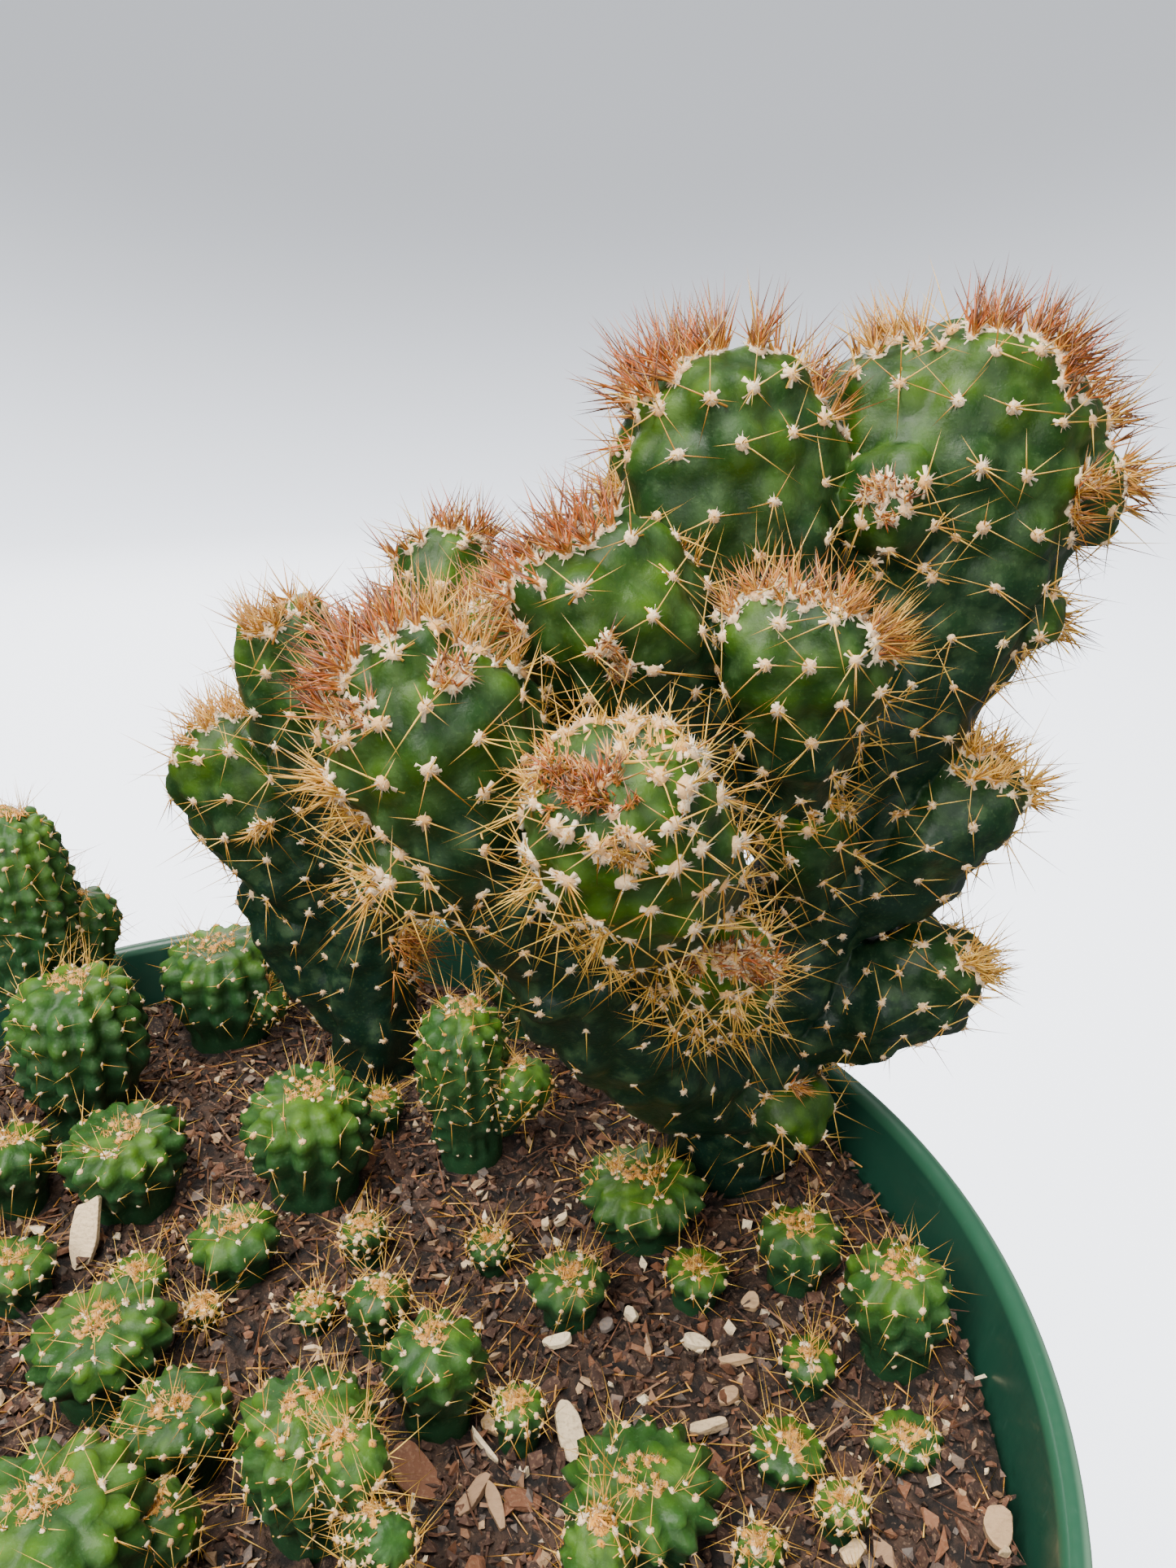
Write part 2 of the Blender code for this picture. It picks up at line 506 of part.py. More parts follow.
class ShootShape:
    """The rings, skin and areoles of one shoot."""

    def __init__(self, shoot):
        self.shoot = shoot
        self.foot = Vector(shoot.foot)
        self.crown = Vector(shoot.crown)
        self.middle = (self.foot + self.crown) / 2 + Vector(shoot.bend)
        self.length = (self.crown - self.foot).length

    def axis(self, share):
        """A point on the bent axis."""
        low = self.foot.lerp(self.middle, share)
        high = self.middle.lerp(self.crown, share)
        return low.lerp(high, share)

    def frame(self, share):
        """The axis's direction, the crest's direction and the one across it."""
        along = (self.middle - self.foot).lerp(self.crown - self.middle, share).normalized()
        if self.shoot.root > 0.0 and share == 0.0:
            along = Vector((0.0, 0.0, 1.0))
        turn = math.radians(self.shoot.turn)
        wide = Vector((math.cos(turn), math.sin(turn), 0.0))
        wide = (wide - along * wide.dot(along)).normalized()
        return along, wide, along.cross(wide)

    def radius(self, share):
        """The radius without its ribs, from the foot (0) to the crown (1)."""
        shoot = self.shoot
        swollen = smooth(share / shoot.swell)
        radius = shoot.foot_radius + (shoot.head_radius - shoot.foot_radius) * swollen
        if share > shoot.shoulder:
            over = (share - shoot.shoulder) / (1.0 - shoot.shoulder)
            radius *= max(1.0 - over ** DOME_POWER, 0.0) ** (1.0 / DOME_POWER)
        return radius

    def ring_shares(self):
        """Where the rings lie on the axis, evenly spaced along the skin."""
        shares = [i / AXIS_SAMPLES for i in range(AXIS_SAMPLES + 1)]
        travel = [0.0]
        for low, high in zip(shares, shares[1:]):
            rise = (high - low) * self.length
            run = self.radius(high) - self.radius(low)
            travel.append(travel[-1] + math.hypot(rise, run))
        rows = max(2, round(travel[-1] / self.shoot.step))
        chosen = []
        for row in range(rows):
            wanted = travel[-1] * row / rows
            index = next(i for i, reached in enumerate(travel) if reached >= wanted)
            chosen.append(shares[index])
        return [s for s in chosen if self.radius(s) > MIN_TOP_RADIUS or s < 0.5]

    def point(self, share, angle, scale):
        """A point on the skin."""
        along, wide, across = self.frame(share)
        thin = 1.0 + (self.shoot.flat - 1.0) * smooth(share / self.shoot.swell)
        radius = self.radius(share) * scale
        spoke = wide * (math.cos(angle) * radius) + across * (math.sin(angle) * radius * thin)
        return self.axis(share) + spoke

    def build(self, name):
        """The skin as a closed mesh, and the list of its areoles."""
        columns = 2 * self.shoot.ribs
        shares = self.ring_shares()
        vertices = []
        areoles = []
        chord = math.cos(math.pi / self.shoot.ribs)
        for row, share in enumerate(shares):
            for column in range(columns):
                angle = 2 * math.pi * column / columns
                rib = column // 2
                on_rib = column % 2 == 0
                scale = 1.0 if on_rib else chord
                has_areole = on_rib and (row + rib) % 2 == 0
                if row > 0:
                    scale = 1.0 if on_rib else 1.0 - GROOVE
                    scale += TUBERCLE if has_areole else 0.0
                place = self.point(share, angle, scale)
                vertices.append(place)
                if has_areole and row > 0:
                    outward = (place - self.axis(share)).normalized()
                    areoles.append((place, outward, share))
        vertices.append(self.crown)
        last = len(vertices) - 1
        faces = []
        if self.shoot.root > 0.0:
            down = Vector((0.0, 0.0, self.shoot.root))
            first = len(vertices)
            corners = [first + rib for rib in range(self.shoot.ribs)]
            vertices += [vertices[2 * rib] - down for rib in range(self.shoot.ribs)]
            faces.append(tuple(corners))
            for rib, corner in enumerate(corners):
                low = 2 * rib
                follow = (low + 2) % columns
                faces.append((corner, corners[(rib + 1) % len(corners)], follow, low + 1, low))
        else:
            faces.append(tuple(range(columns)))
        for row in range(len(shares) - 1):
            for column in range(columns):
                follow = (column + 1) % columns
                low = row * columns
                high = low + columns
                faces.append((low + column, low + follow, high + follow, high + column))
        top = (len(shares) - 1) * columns
        for column in range(columns):
            faces.append((last, top + column, top + (column + 1) % columns))
        return mesh_object(name, vertices, faces), areoles

    def crest_spots(self, rng, count):
        """Places over the dome for the crowded spines of the growing crest."""
        spots = []
        depth = (1.0 - self.shoot.shoulder) * CREST_DEPTH
        heart = self.axis(max(self.shoot.shoulder - CREST_HEART, LOWEST_HEART))
        for index in range(count):
            share = min(1.0 - depth * ((index + 0.5) / count) ** CREST_GATHER, CREST_TOP)
            angle = index * GOLDEN_ANGLE + rng.uniform(-CREST_JITTER, CREST_JITTER)
            place = self.point(share, angle, CREST_SINK)
            spots.append((place, (place - heart).normalized()))
        return spots


def needle(name, root, tip):
    """A three-sided spine that narrows to a point."""
    along = (tip - root).normalized()
    side = along.orthogonal().normalized()
    other = along.cross(side)
    ring = []
    for corner in range(3):
        angle = 2 * math.pi * corner / 3
        ring.append(root + (side * math.cos(angle) + other * math.sin(angle)) * SPINE_RADIUS)
    return mesh_object(name, ring + [tip], [(0, 1, 2), (0, 1, 3), (1, 2, 3), (2, 0, 3)])


def segment_distance(a, b, c, d):
    """The least distance between the segments a-b and c-d."""
    u = b - a
    v = d - c
    w = a - c
    uu, uv, vv, uw, vw = u.dot(u), u.dot(v), v.dot(v), u.dot(w), v.dot(w)
    spread = uu * vv - uv * uv
    s = min(max((uv * vw - vv * uw) / spread, 0.0), 1.0) if spread > 1e-9 else 0.0
    t = min(max((uv * s + vw) / vv, 0.0), 1.0)
    s = min(max((uv * t - uw) / uu, 0.0), 1.0)
    return (a + u * s - c - v * t).length


class Colony:
    """All plants, so that the spines of each stay clear of the others."""

    def __init__(self, solids):
        self.trees = {name: self.tree(solid) for name, solid in solids.items()}
        self.middles = {
            name: [face.center / MM for face in solid.data.polygons]
            for name, solid in solids.items()
        }
        self.spines = []

    @staticmethod
    def tree(solid):
        """A search tree over a solid's faces, in millimetres."""
        vertices = [vertex.co / MM for vertex in solid.data.vertices]
        faces = [tuple(face.vertices) for face in solid.data.polygons]
        return BVHTree.FromPolygons(vertices, faces)

    def is_clear(self, plant, start, tip):
        """Whether a spine keeps off every other solid and the other plants' spines."""
        steps = max(2, int((tip - start).length / SPINE_PROBE))
        points = [start.lerp(tip, step / steps) for step in range(steps + 1)]
        for name, tree in self.trees.items():
            if name == plant:
                continue
            for point in points:
                if tree.find_nearest(point, SPINE_CLEAR + SPINE_RADIUS)[0] is not None:
                    return False
        least = SPINE_CLEAR + 2 * SPINE_RADIUS
        for other, low, high in self.spines:
            if other != plant and segment_distance(start, tip, low, high) < least:
                return False
        return True

    def skin_spot(self, plant, place):
        """The point of a plant's skin by a place, drawn in from the edges of its face."""
        spot, _, index, _ = self.trees[plant].find_nearest(place)
        return spot.lerp(self.middles[plant][index], SPINE_INSET)

    def hits_itself(self, plant, start, tip):
        """Whether a spine runs back into its own plant."""
        along = (tip - start).normalized()
        free = start + along * SPINE_FREE
        return self.trees[plant].ray_cast(free, along, (tip - free).length)[0] is not None

    def grow(self, rng, plant, place, outward, lengths, spread):
        """Try a few directions for one spine, and keep the first clear one."""
        for attempt in range(SPINE_TRIES):
            tilt = math.radians(rng.uniform(*spread))
            around = rng.uniform(0.0, 2 * math.pi)
            side = outward.orthogonal().normalized()
            other = outward.cross(side)
            lean = side * math.cos(around) + other * math.sin(around)
            direction = outward * math.cos(tilt) + lean * math.sin(tilt)
            length = rng.uniform(*lengths) * (1.0 - SPINE_RETRY_CUT * attempt)
            root = self.skin_spot(plant, place + lean * AREOLE_RADIUS)
            start = root - direction * SPINE_SINK
            tip = root + direction * length
            if length < LEAST_SPINE or self.hits_itself(plant, root, tip):
                continue
            if self.is_clear(plant, start, tip):
                self.spines.append((plant, start, tip))
                return needle(f"{plant}_spine", start, tip)
        return None


def offset_shoots(offset):
    """The shoots of a low offset: the first stands in the soil, the others grow from it."""
    shoots = []
    first_x, first_y = offset.crowns[0][:2]
    for index, (x, y, radius, height) in enumerate(offset.crowns):
        lean_x, lean_y = offset.lean
        crown = (x + lean_x, y + lean_y, SOIL_LEVEL + height)
        ribs, spines, crest, rows = next(
            kind[1:] for kind in OFFSET_CLASSES if radius > kind[0])
        step = (height + OFFSET_DOME * radius) / rows
        if index == 0:
            neck = min(NECK, height * OFFSET_NECK)
            shoots.append(Shoot(
                (x, y, SOIL_LEVEL + neck), crown, radius * OFFSET_FOOT, radius, ribs=ribs,
                root=ROOT_DEPTH + neck, swell=OFFSET_SWELL, shoulder=OFFSET_SHOULDER,
                spines=spines, crest_spines=crest, step=step))
        else:
            foot = (
                x + (first_x - x) * TWIN_INWARD,
                y + (first_y - y) * TWIN_INWARD,
                SOIL_LEVEL + height * TWIN_RISE,
            )
            shoots.append(Shoot(
                foot, crown, radius * TWIN_FOOT, radius, ribs=ribs,
                swell=TWIN_SWELL, shoulder=TWIN_SHOULDER,
                spines=spines - 1, crest_spines=crest, step=step))
    return tuple(shoots)


def join_shoots(name, shoots, finish):
    """The bodies of a plant's shoots as one solid, and where its spines grow."""
    shapes = [ShootShape(shoot) for shoot in shoots]
    built = [shape.build(f"{name}_body_{index}") for index, shape in enumerate(shapes)]
    body = built[0][0]
    body.name = name
    if len(built) > 1:
        combine(body, [piece for piece, _ in built[1:]], "UNION")
    keep_main_body(body, finish)
    growth = [(shape, areoles) for shape, (_, areoles) in zip(shapes, built)]
    return body, growth


def spines_for(colony, name, growth):
    """The spines of one plant, spread over its areoles and crowded on its crests."""
    rng = random.Random(f"{SEED}_{name}")
    needles = []
    for shape, areoles in growth:
        shoot = shape.shoot
        dome = shoot.shoulder + (1.0 - shoot.shoulder) * CREST_START
        body_areoles = [entry for entry in areoles if entry[2] < dome]
        wanted = min(shoot.spines, len(body_areoles))
        pick = rng.sample(body_areoles, wanted)
        for place, outward, _ in pick:
            needles.append(colony.grow(rng, name, place, outward, SPINE_LENGTH, SPINE_SPREAD))
        for place, outward in shape.crest_spots(rng, shoot.crest_spines):
            needles.append(
                colony.grow(rng, name, place, outward, CREST_SPINE_LENGTH, CREST_SPREAD))
    return [piece for piece in needles if piece]


def main():
    """Clear the scene and build the pot, the soil and every plant."""
    for old in list(bpy.data.objects):
        bpy.data.objects.remove(old)
    pot_finish = material("green_plastic", POT_GREEN, 0.42)
    soil_finish = material("bark_soil", SOIL_BROWN, 0.95)
    old_skin = material("old_cactus_skin", OLD_GREEN, 0.55)
    young_skin = material("young_cactus_skin", YOUNG_GREEN, 0.55)

    plants = {
        "crested_clump": (CLUMP, old_skin),
        "back_clump": (BACK_CLUMP, old_skin),
    }
    for offset in OFFSETS:
        plants[offset.name] = (offset_shoots(offset), young_skin)

    stems = []
    for shoots, _ in plants.values():
        for shoot in shoots:
            x, y, foot = shoot.foot
            if shoot.root > 0.0:
                stems.append((x, y, shoot.foot_radius, foot - shoot.root, shoot.ribs))

    pot = build_pot(pot_finish)
    soil = build_soil(soil_finish, stems)
    solids = {"pot": pot, "soil": soil}
    growths = {}
    for name, (shoots, finish) in plants.items():
        solids[name], growths[name] = join_shoots(name, shoots, finish)
    colony = Colony(solids)
    for name, (_, finish) in plants.items():
        needles = spines_for(colony, name, growths[name])
        combine(solids[name], needles, "UNION")
        keep_main_body(solids[name], finish)
        solids[name].data.shade_smooth()
        solids[name].data.set_sharp_from_angle(angle=math.radians(SHARP_ANGLE))


main()
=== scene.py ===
"""The looks of a potted crested Peruvian apple cactus with its colony of offsets.

Lengths in the tables are millimetres and become metres where a mesh is made. Each plant grows from
the same stems as its solid: a fine skin with a tubercle under each areole, its wool, its spines
and the crests where the heads grow. Soil, litter, pot and a plain studio complete the picture.
"""

import logging
import math
import zlib
from contextlib import contextmanager
from dataclasses import dataclass, field
from enum import Enum
from typing import Callable, Iterator, Sequence

import bpy
import numpy as np
from mathutils import Matrix, Vector, kdtree
from mathutils.bvhtree import BVHTree


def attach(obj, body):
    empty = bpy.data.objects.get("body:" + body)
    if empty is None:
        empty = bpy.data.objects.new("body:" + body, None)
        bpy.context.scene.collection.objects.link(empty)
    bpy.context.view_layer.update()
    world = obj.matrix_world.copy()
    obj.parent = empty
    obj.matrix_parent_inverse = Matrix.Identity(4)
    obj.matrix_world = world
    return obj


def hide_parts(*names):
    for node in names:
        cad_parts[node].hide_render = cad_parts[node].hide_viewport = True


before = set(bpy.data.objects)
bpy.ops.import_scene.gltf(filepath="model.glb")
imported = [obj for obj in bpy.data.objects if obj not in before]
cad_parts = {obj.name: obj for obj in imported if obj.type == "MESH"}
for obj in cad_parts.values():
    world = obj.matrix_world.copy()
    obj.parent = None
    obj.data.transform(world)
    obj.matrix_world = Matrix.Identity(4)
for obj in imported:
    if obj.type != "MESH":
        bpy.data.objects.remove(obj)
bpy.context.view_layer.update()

LOG = logging.getLogger("cactus")
MM = 0.001
SEED = 20
BODY = "root"
TINT = "tint"  # the colour attribute that the finishes read
WELD = 1e-6  # vertices nearer than this many metres become one
TURN = 2 * math.pi
ROUGH_TURN = 6.28  # a whole turn, as near as a random heading needs
RIPPLE_WAVES = 7
RIPPLE_SUM = 2.6  # what the sum of the waves is divided by

Triple = tuple[float, float, float]
Colour = tuple[float, float, float, float]
Array = np.ndarray
Thing = bpy.types.Object
Material = bpy.types.Material
Socket = bpy.types.NodeSocket


def shade(red: int, green: int, blue: int) -> Colour:
    """A linear colour from the three display values, 0 to 255, that a maker would name.

    Args:
        red: Display value of red.
        green: Display value of green.
        blue: Display value of blue.

    Returns:
        The colour as Blender's sockets take it.
    """
    parts = []
    for value in (red, green, blue):
        part = value / 255.0
        parts.append(part / 12.92 if part <= 0.04045 else ((part + 0.055) / 1.055) ** 2.4)
    return (parts[0], parts[1], parts[2], 1.0)


def draws(name: str) -> np.random.Generator:
    """The random draws that belong to a name, the same on each run."""
    return np.random.default_rng(SEED + zlib.crc32(name.encode()))


def smooth(value: Array) -> Array:
    """An S-shaped step from 0 to 1."""
    held = np.clip(value, 0.0, 1.0)
    return held * held * (3.0 - 2.0 * held)


def unit(vectors: Array) -> Array:
    """Rows of vectors brought to length one."""
    length = np.linalg.norm(vectors, axis=-1, keepdims=True)
    return vectors / np.maximum(length, 1e-9)


def rows_of(*parts: Array | float) -> Array:
    """Columns set side by side as rows. A plain number fills its whole column."""
    return np.stack(np.broadcast_arrays(*parts), axis=1)


def polar(radius: Array, turn: Array, height: Array | float) -> Array:
    """Points at a radius and a turn in radians about the Z axis, and at a height."""
    return rows_of(radius * np.cos(turn), radius * np.sin(turn), height)


def ripples(points: Array, size: float, name: str) -> Array:
    """A gentle swell over points, made of a few crossing waves.

    Args:
        points: Places in millimetres, one a row.
        size: Rough distance between crests.
        name: Name that the waves' directions are drawn for.

    Returns:
        One value a point, mostly between -1 and 1.
    """
    rng = draws(name)
    swell = np.zeros(len(points))
    for _ in range(RIPPLE_WAVES):
        heading = unit(rng.normal(size=(1, 3)))[0]
        wave = size * rng.uniform(0.7, 1.6)
        swell += np.sin(points @ heading * (TURN / wave) + rng.uniform(0, TURN))
    return swell / RIPPLE_SUM


class Bench:
    """Short calls for Blender's modelling operators."""

    @staticmethod
    def primitive(operator: Callable, name: str, **sizes: object) -> Thing:
        """Add an object with nothing else selected.

        Args:
            operator: One of Blender's add operators.
            name: The new object's name.
            **sizes: What the operator takes.

        Returns:
            The new object.
        """
        bpy.ops.object.select_all(action="DESELECT")
        operator(**sizes)
        made = bpy.context.active_object
        made.name = name
        made.data.name = name
        return made

    @staticmethod
    def hold(piece: Thing) -> None:
        """Select one object alone and make it active."""
        bpy.ops.object.select_all(action="DESELECT")
        piece.select_set(True)
        bpy.context.view_layer.objects.active = piece

    @staticmethod
    def points(piece: Thing) -> Array:
        """The object's vertices, one a row."""
        flat = np.empty(len(piece.data.vertices) * 3)
        piece.data.vertices.foreach_get("co", flat)
        return flat.reshape(-1, 3)

    @staticmethod
    def set_points(piece: Thing, points: Array) -> None:
        """Move the object's vertices to points given in metres."""
        piece.data.vertices.foreach_set("co", points.astype(np.float32).ravel())
        piece.data.update()

    @staticmethod
    def triangles(piece: Thing) -> int:
        """How many triangles the object's faces make."""
        return sum(len(face.vertices) - 2 for face in piece.data.polygons)

    @staticmethod
    @contextmanager
    def editing(piece: Thing) -> Iterator[None]:
        """Edit mode on one object, with all of it selected to begin with."""
        Bench.hold(piece)
        bpy.ops.object.mode_set(mode="EDIT")
        bpy.ops.mesh.select_all(action="SELECT")
        yield
        bpy.ops.object.mode_set(mode="OBJECT")

    @staticmethod
    def close(piece: Thing) -> None:
        """Merge a shape's seam and poles, cap its open ring and turn its faces outwards."""
        with Bench.editing(piece):
            bpy.ops.mesh.remove_doubles(threshold=WELD)
            bpy.ops.mesh.select_all(action="DESELECT")
            bpy.ops.mesh.select_mode(type="EDGE")
            bpy.ops.mesh.select_non_manifold(
                extend=False, use_wire=False, use_boundary=True, use_multi_face=False,
                use_non_contiguous=False, use_verts=False)
            bpy.ops.mesh.edge_face_add()
            bpy.ops.mesh.select_mode(type="VERT")
            bpy.ops.mesh.select_all(action="SELECT")
            bpy.ops.mesh.normals_make_consistent(inside=False)

    @staticmethod
    def sheet(name: str, around: int, rows: int) -> tuple[Thing, Array, Array]:
        """A square grid to be wrapped round a form.

        Args:
            name: The new object's name.
            around: Faces round the form.
            rows: Faces along it.

        Returns:
            The grid, and for each vertex its turn in radians and its rise from 0 to 1.
        """
        grid = Bench.primitive(
            bpy.ops.mesh.primitive_grid_add, name, x_subdivisions=around, y_subdivisions=rows,
            size=1.0)
        flat = Bench.points(grid)
        return grid, (flat[:, 0] + 0.5) * TURN, np.clip(flat[:, 1] + 0.5, 0.0, 1.0)

    @staticmethod
    def combine(body: Thing, others: Sequence[Thing], operation: str,
                solver: str = "EXACT") -> None:
        """Join closed objects to a body or cut them from it, and remove them.

        Args:
            body: The object that is changed.
            others: Closed objects that reach into it.
            operation: UNION or DIFFERENCE.
            solver: The boolean's solver.
        """
        if not others:
            return
        group = bpy.data.collections.new(body.name + "_parts")
        for other in others:
            group.objects.link(other)
        change = body.modifiers.new("combine", "BOOLEAN")
        change.operation = operation
        change.solver = solver
        change.operand_type = "COLLECTION"
        change.collection = group
        Bench.hold(body)
        bpy.ops.object.modifier_apply(modifier=change.name)
        for other in others:
            bpy.data.objects.remove(other)
        bpy.data.collections.remove(group)

    @staticmethod
    def union(name: str, shells: Sequence[Thing]) -> Thing:
        """Closed shells joined in one skin.

        Args:
            name: Name of the joined object.
            shells: Closed objects that reach into each other.

        Returns:
            The first shell, which now holds them all.
        """
        body = shells[0]
        Bench.combine(body, shells[1:], "UNION", "MANIFOLD")
        body.name = name
        body.data.name = name
        return body

    @staticmethod
    def tint(piece: Thing, tints: Array) -> None:
        """Store a colour for each vertex, which the finishes read."""
        attribute = piece.data.color_attributes.new(TINT, "FLOAT_COLOR", "POINT")
        colours = np.ones((len(tints), 4), np.float32)
        colours[:, :3] = tints
        attribute.data.foreach_set("color", colours.ravel())

    @staticmethod
    def coat(piece: Thing, material: Material) -> None:
        """Make a material the object's only one."""
        piece.data.materials.clear()
        piece.data.materials.append(material)

    @staticmethod
    def finish(piece: Thing, material: Material, slot: str = "") -> None:
        """Give a finished piece its material, its smooth shading and its place in the frame."""
        Bench.coat(piece, material)
        Bench.hold(piece)
        bpy.ops.object.shade_smooth()
        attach(piece, BODY)
        LOG.info("%s: %d triangles", piece.name, Bench.triangles(piece))


class Graph:
    """A material's node tree, with short calls for the nodes used here."""

    def __init__(self, name: str, colour: Colour, sockets: dict[str, float]) -> None:
        """Start a material from its plain colour and its plain socket values."""
        self.material = bpy.data.materials.new(name)
        self.material.use_nodes = True
        self.material.diffuse_color = colour
        self.nodes = self.material.node_tree.nodes
        self.links = self.material.node_tree.links
        self.shader = self.nodes["Principled BSDF"]
        self.shader.inputs["Base Color"].default_value = colour
        for socket, value in sockets.items():
            self.shader.inputs[socket].default_value = value
        self.place = self.nodes.new("ShaderNodeTexCoord").outputs["Object"]

    def feed(self, socket: Socket, value: object) -> None:
        """Link a socket, or set its value."""
        if isinstance(value, Socket):
            self.links.new(value, socket)
        else:
            socket.default_value = value

    def node(self, kind: str, inputs: dict[int | str, object]) -> bpy.types.Node:
        """Add a node and link or set its inputs.

        Args:
            kind: The shader node's kind.
            inputs: What each input takes, by its name or number.

        Returns:
            The node.
        """
        made = self.nodes.new("ShaderNode" + kind)
        for key, value in inputs.items():
            self.feed(made.inputs[key], value)
        return made

    def axes(self) -> tuple[Socket, ...]:
        """The three coordinates of the place."""
        return tuple(self.node("SeparateXYZ", {0: self.place}).outputs)

    def tints(self) -> tuple[Socket, ...]:
        """The three channels of the piece's tint."""
        node = self.node("Attribute", {})
        node.attribute_name = TINT
        return tuple(self.node("SeparateColor", {0: node.outputs["Color"]}).outputs)[:3]

    def noise(self, size: float, detail: float = 3.0, stretch: Triple = (1, 1, 1)) -> Socket:
        """Noise whose patches are about size millimetres wide.

        Args:
            size: Width of a patch.
            detail: Octaves of finer noise.
            stretch: Scale along each axis.

        Returns:
            A value socket.
        """
        mapping = self.node("Mapping", {"Vector": self.place, "Scale": stretch})
        return self.node("TexNoise", {
            "Vector": mapping.outputs[0], "Scale": 1.0 / (size * MM), "Detail": detail}).outputs[0]

    def math(self, operation: str, first: object, second: object = 0.0) -> Socket:
        """The result of a Math node."""
        node = self.node("Math", {0: first, 1: second})
        node.operation = operation
        return node.outputs[0]

    def band(self, value: Socket, low: float, high: float, top: float = 1.0) -> Socket:
        """A smooth step.

        Args:
            value: The socket that is read.
            low: The value up to which the step is 0.
            high: The value from which it is full.
            top: What it rises to.

        Returns:
            A value socket.
        """
        node = self.node("MapRange", {
            "Value": value, "From Min": low, "From Max": high, "To Max": top})
        node.interpolation_type = "SMOOTHSTEP"
        return node.outputs[0]

    def blend(self, factor: Socket, first: object, second: object) -> Socket:
        """A mix of two colours."""
        node = self.nodes.new("ShaderNodeMix")
        node.data_type = "RGBA"
        for key, value in ((0, factor), (6, first), (7, second)):
            self.feed(node.inputs[key], value)
        return node.outputs[2]

    def ramp(self, value: Socket, stops: Sequence[tuple[float, Colour]]) -> Socket:
        """A colour ramp with the stops given."""
        node = self.node("ValToRGB", {0: value})
        elements = node.color_ramp.elements
        for element, stop in zip(elements, (stops[0], stops[-1])):
            element.position, element.color = stop
        for position, colour in stops[1:-1]:
            elements.new(position).color = colour
        return node.outputs[0]

    def bump(self, height: Socket, depth: float) -> None:
        """Relief of a depth in millimetres, over any relief already there."""
        inputs = {"Strength": 1.0, "Distance": depth * MM, "Height": height}
        normal = self.shader.inputs["Normal"]
        if normal.is_linked:
            inputs["Normal"] = normal.links[0].from_socket
        self.links.new(self.node("Bump", inputs).outputs[0], normal)

    def colour(self, value: object) -> None:
        """Set the surface's colour."""
        self.feed(self.shader.inputs["Base Color"], value)

    def roughness(self, value: object) -> None:
        """Set the surface's roughness."""
        self.feed(self.shader.inputs["Roughness"], value)


@dataclass(frozen=True)
class SkinFinish:
    """Waxy cactus skin: deep at the foot (older skin, and painted shade), fresh by the crown, with
    a thin pale bloom that is also painted highlight above the areoles, and painted shade in the
    creases.
    """
    name: str
    deep: Colour
    middle: Colour
    fresh: Colour
    pale: Colour
    crease_and_painted_shade: Colour

    def material(self) -> Material:
        """Build the skin's material."""
        graph = Graph(self.name, self.middle, {
            "Roughness": 0.5, "Specular IOR Level": 0.2, "Coat Weight": 0.04,
            "Coat Roughness": 0.35, "Subsurface Weight": 0.04, "Subsurface Scale": 0.001})
        growth_and_low_shade, bloom_and_highlight, crease_and_painted_shade = graph.tints()
        patches = graph.noise(11.0, 8.0)
        clouds = graph.noise(3.6, 8.0)
        grain = graph.noise(0.6, 3.0)
        # deep green towards the foot of each stem: the older skin's colour, and painted shade low
        # on the plant
        age = graph.math("ADD", growth_and_low_shade, graph.math("MULTIPLY", patches, 0.5))
        tone = graph.blend(graph.band(age, 0.3, 1.15), self.deep, self.middle)
        young = graph.math(
            "MULTIPLY", graph.band(growth_and_low_shade, 0.35, 1.0), graph.band(patches, 0.38, 0.64, 0.8))
        tone = graph.blend(young, tone, self.fresh)
        # pale bloom in patches just above the areoles, which is also a painted highlight on the
        # faces there that catch the light
        veil_and_highlight = graph.math("MULTIPLY", bloom_and_highlight, graph.band(clouds, 0.47, 0.62, 0.18))
        tone = graph.blend(veil_and_highlight, tone, self.pale)
        # painted shade: the creases between the tubercles are darkened
        tone = graph.blend(graph.math("MULTIPLY", crease_and_painted_shade, 0.5), tone, self.crease_and_painted_shade)
        tone = graph.blend(graph.band(grain, 0.56, 0.72, 0.09), tone, self.pale)
        graph.colour(tone)
        graph.roughness(graph.math("ADD", graph.band(clouds, 0.3, 0.7, 0.2), 0.36))
        graph.bump(clouds, 0.16)
        graph.bump(grain, 0.08)
        return graph.material


@dataclass(frozen=True)
class SpineFinish:
    """Horny spines: the tint's red runs along a spine, green varies, blue is a crest's rust."""
    name: str = "cactus_spines"
    straw: Colour = shade(228, 188, 84)
    amber: Colour = shade(178, 120, 34)
    tip: Colour = shade(108, 64, 34)
    rust: Colour = shade(164, 76, 16)
    dark_rust: Colour = shade(86, 40, 10)
    flesh: Colour = shade(238, 162, 80)

    def material(self) -> Material:
        """Build the spines' material."""
        graph = Graph(self.name, self.amber, {"Roughness": 0.38, "Coat Weight": 0.1})
        along, varied, crest = graph.tints()
        tone = graph.blend(varied, self.straw, self.amber)
        tone = graph.blend(graph.band(along, 0.55, 1.0, 0.8), tone, self.tip)
        warm = graph.blend(graph.band(varied, 0.15, 0.7), self.rust, self.dark_rust)
        warm = graph.blend(graph.band(along, 0.04, 0.34), self.flesh, warm)
        graph.colour(graph.blend(crest, tone, warm))
        graph.roughness(graph.band(graph.noise(0.8, 2.0), 0.0, 1.0, 0.75))
        return graph.material


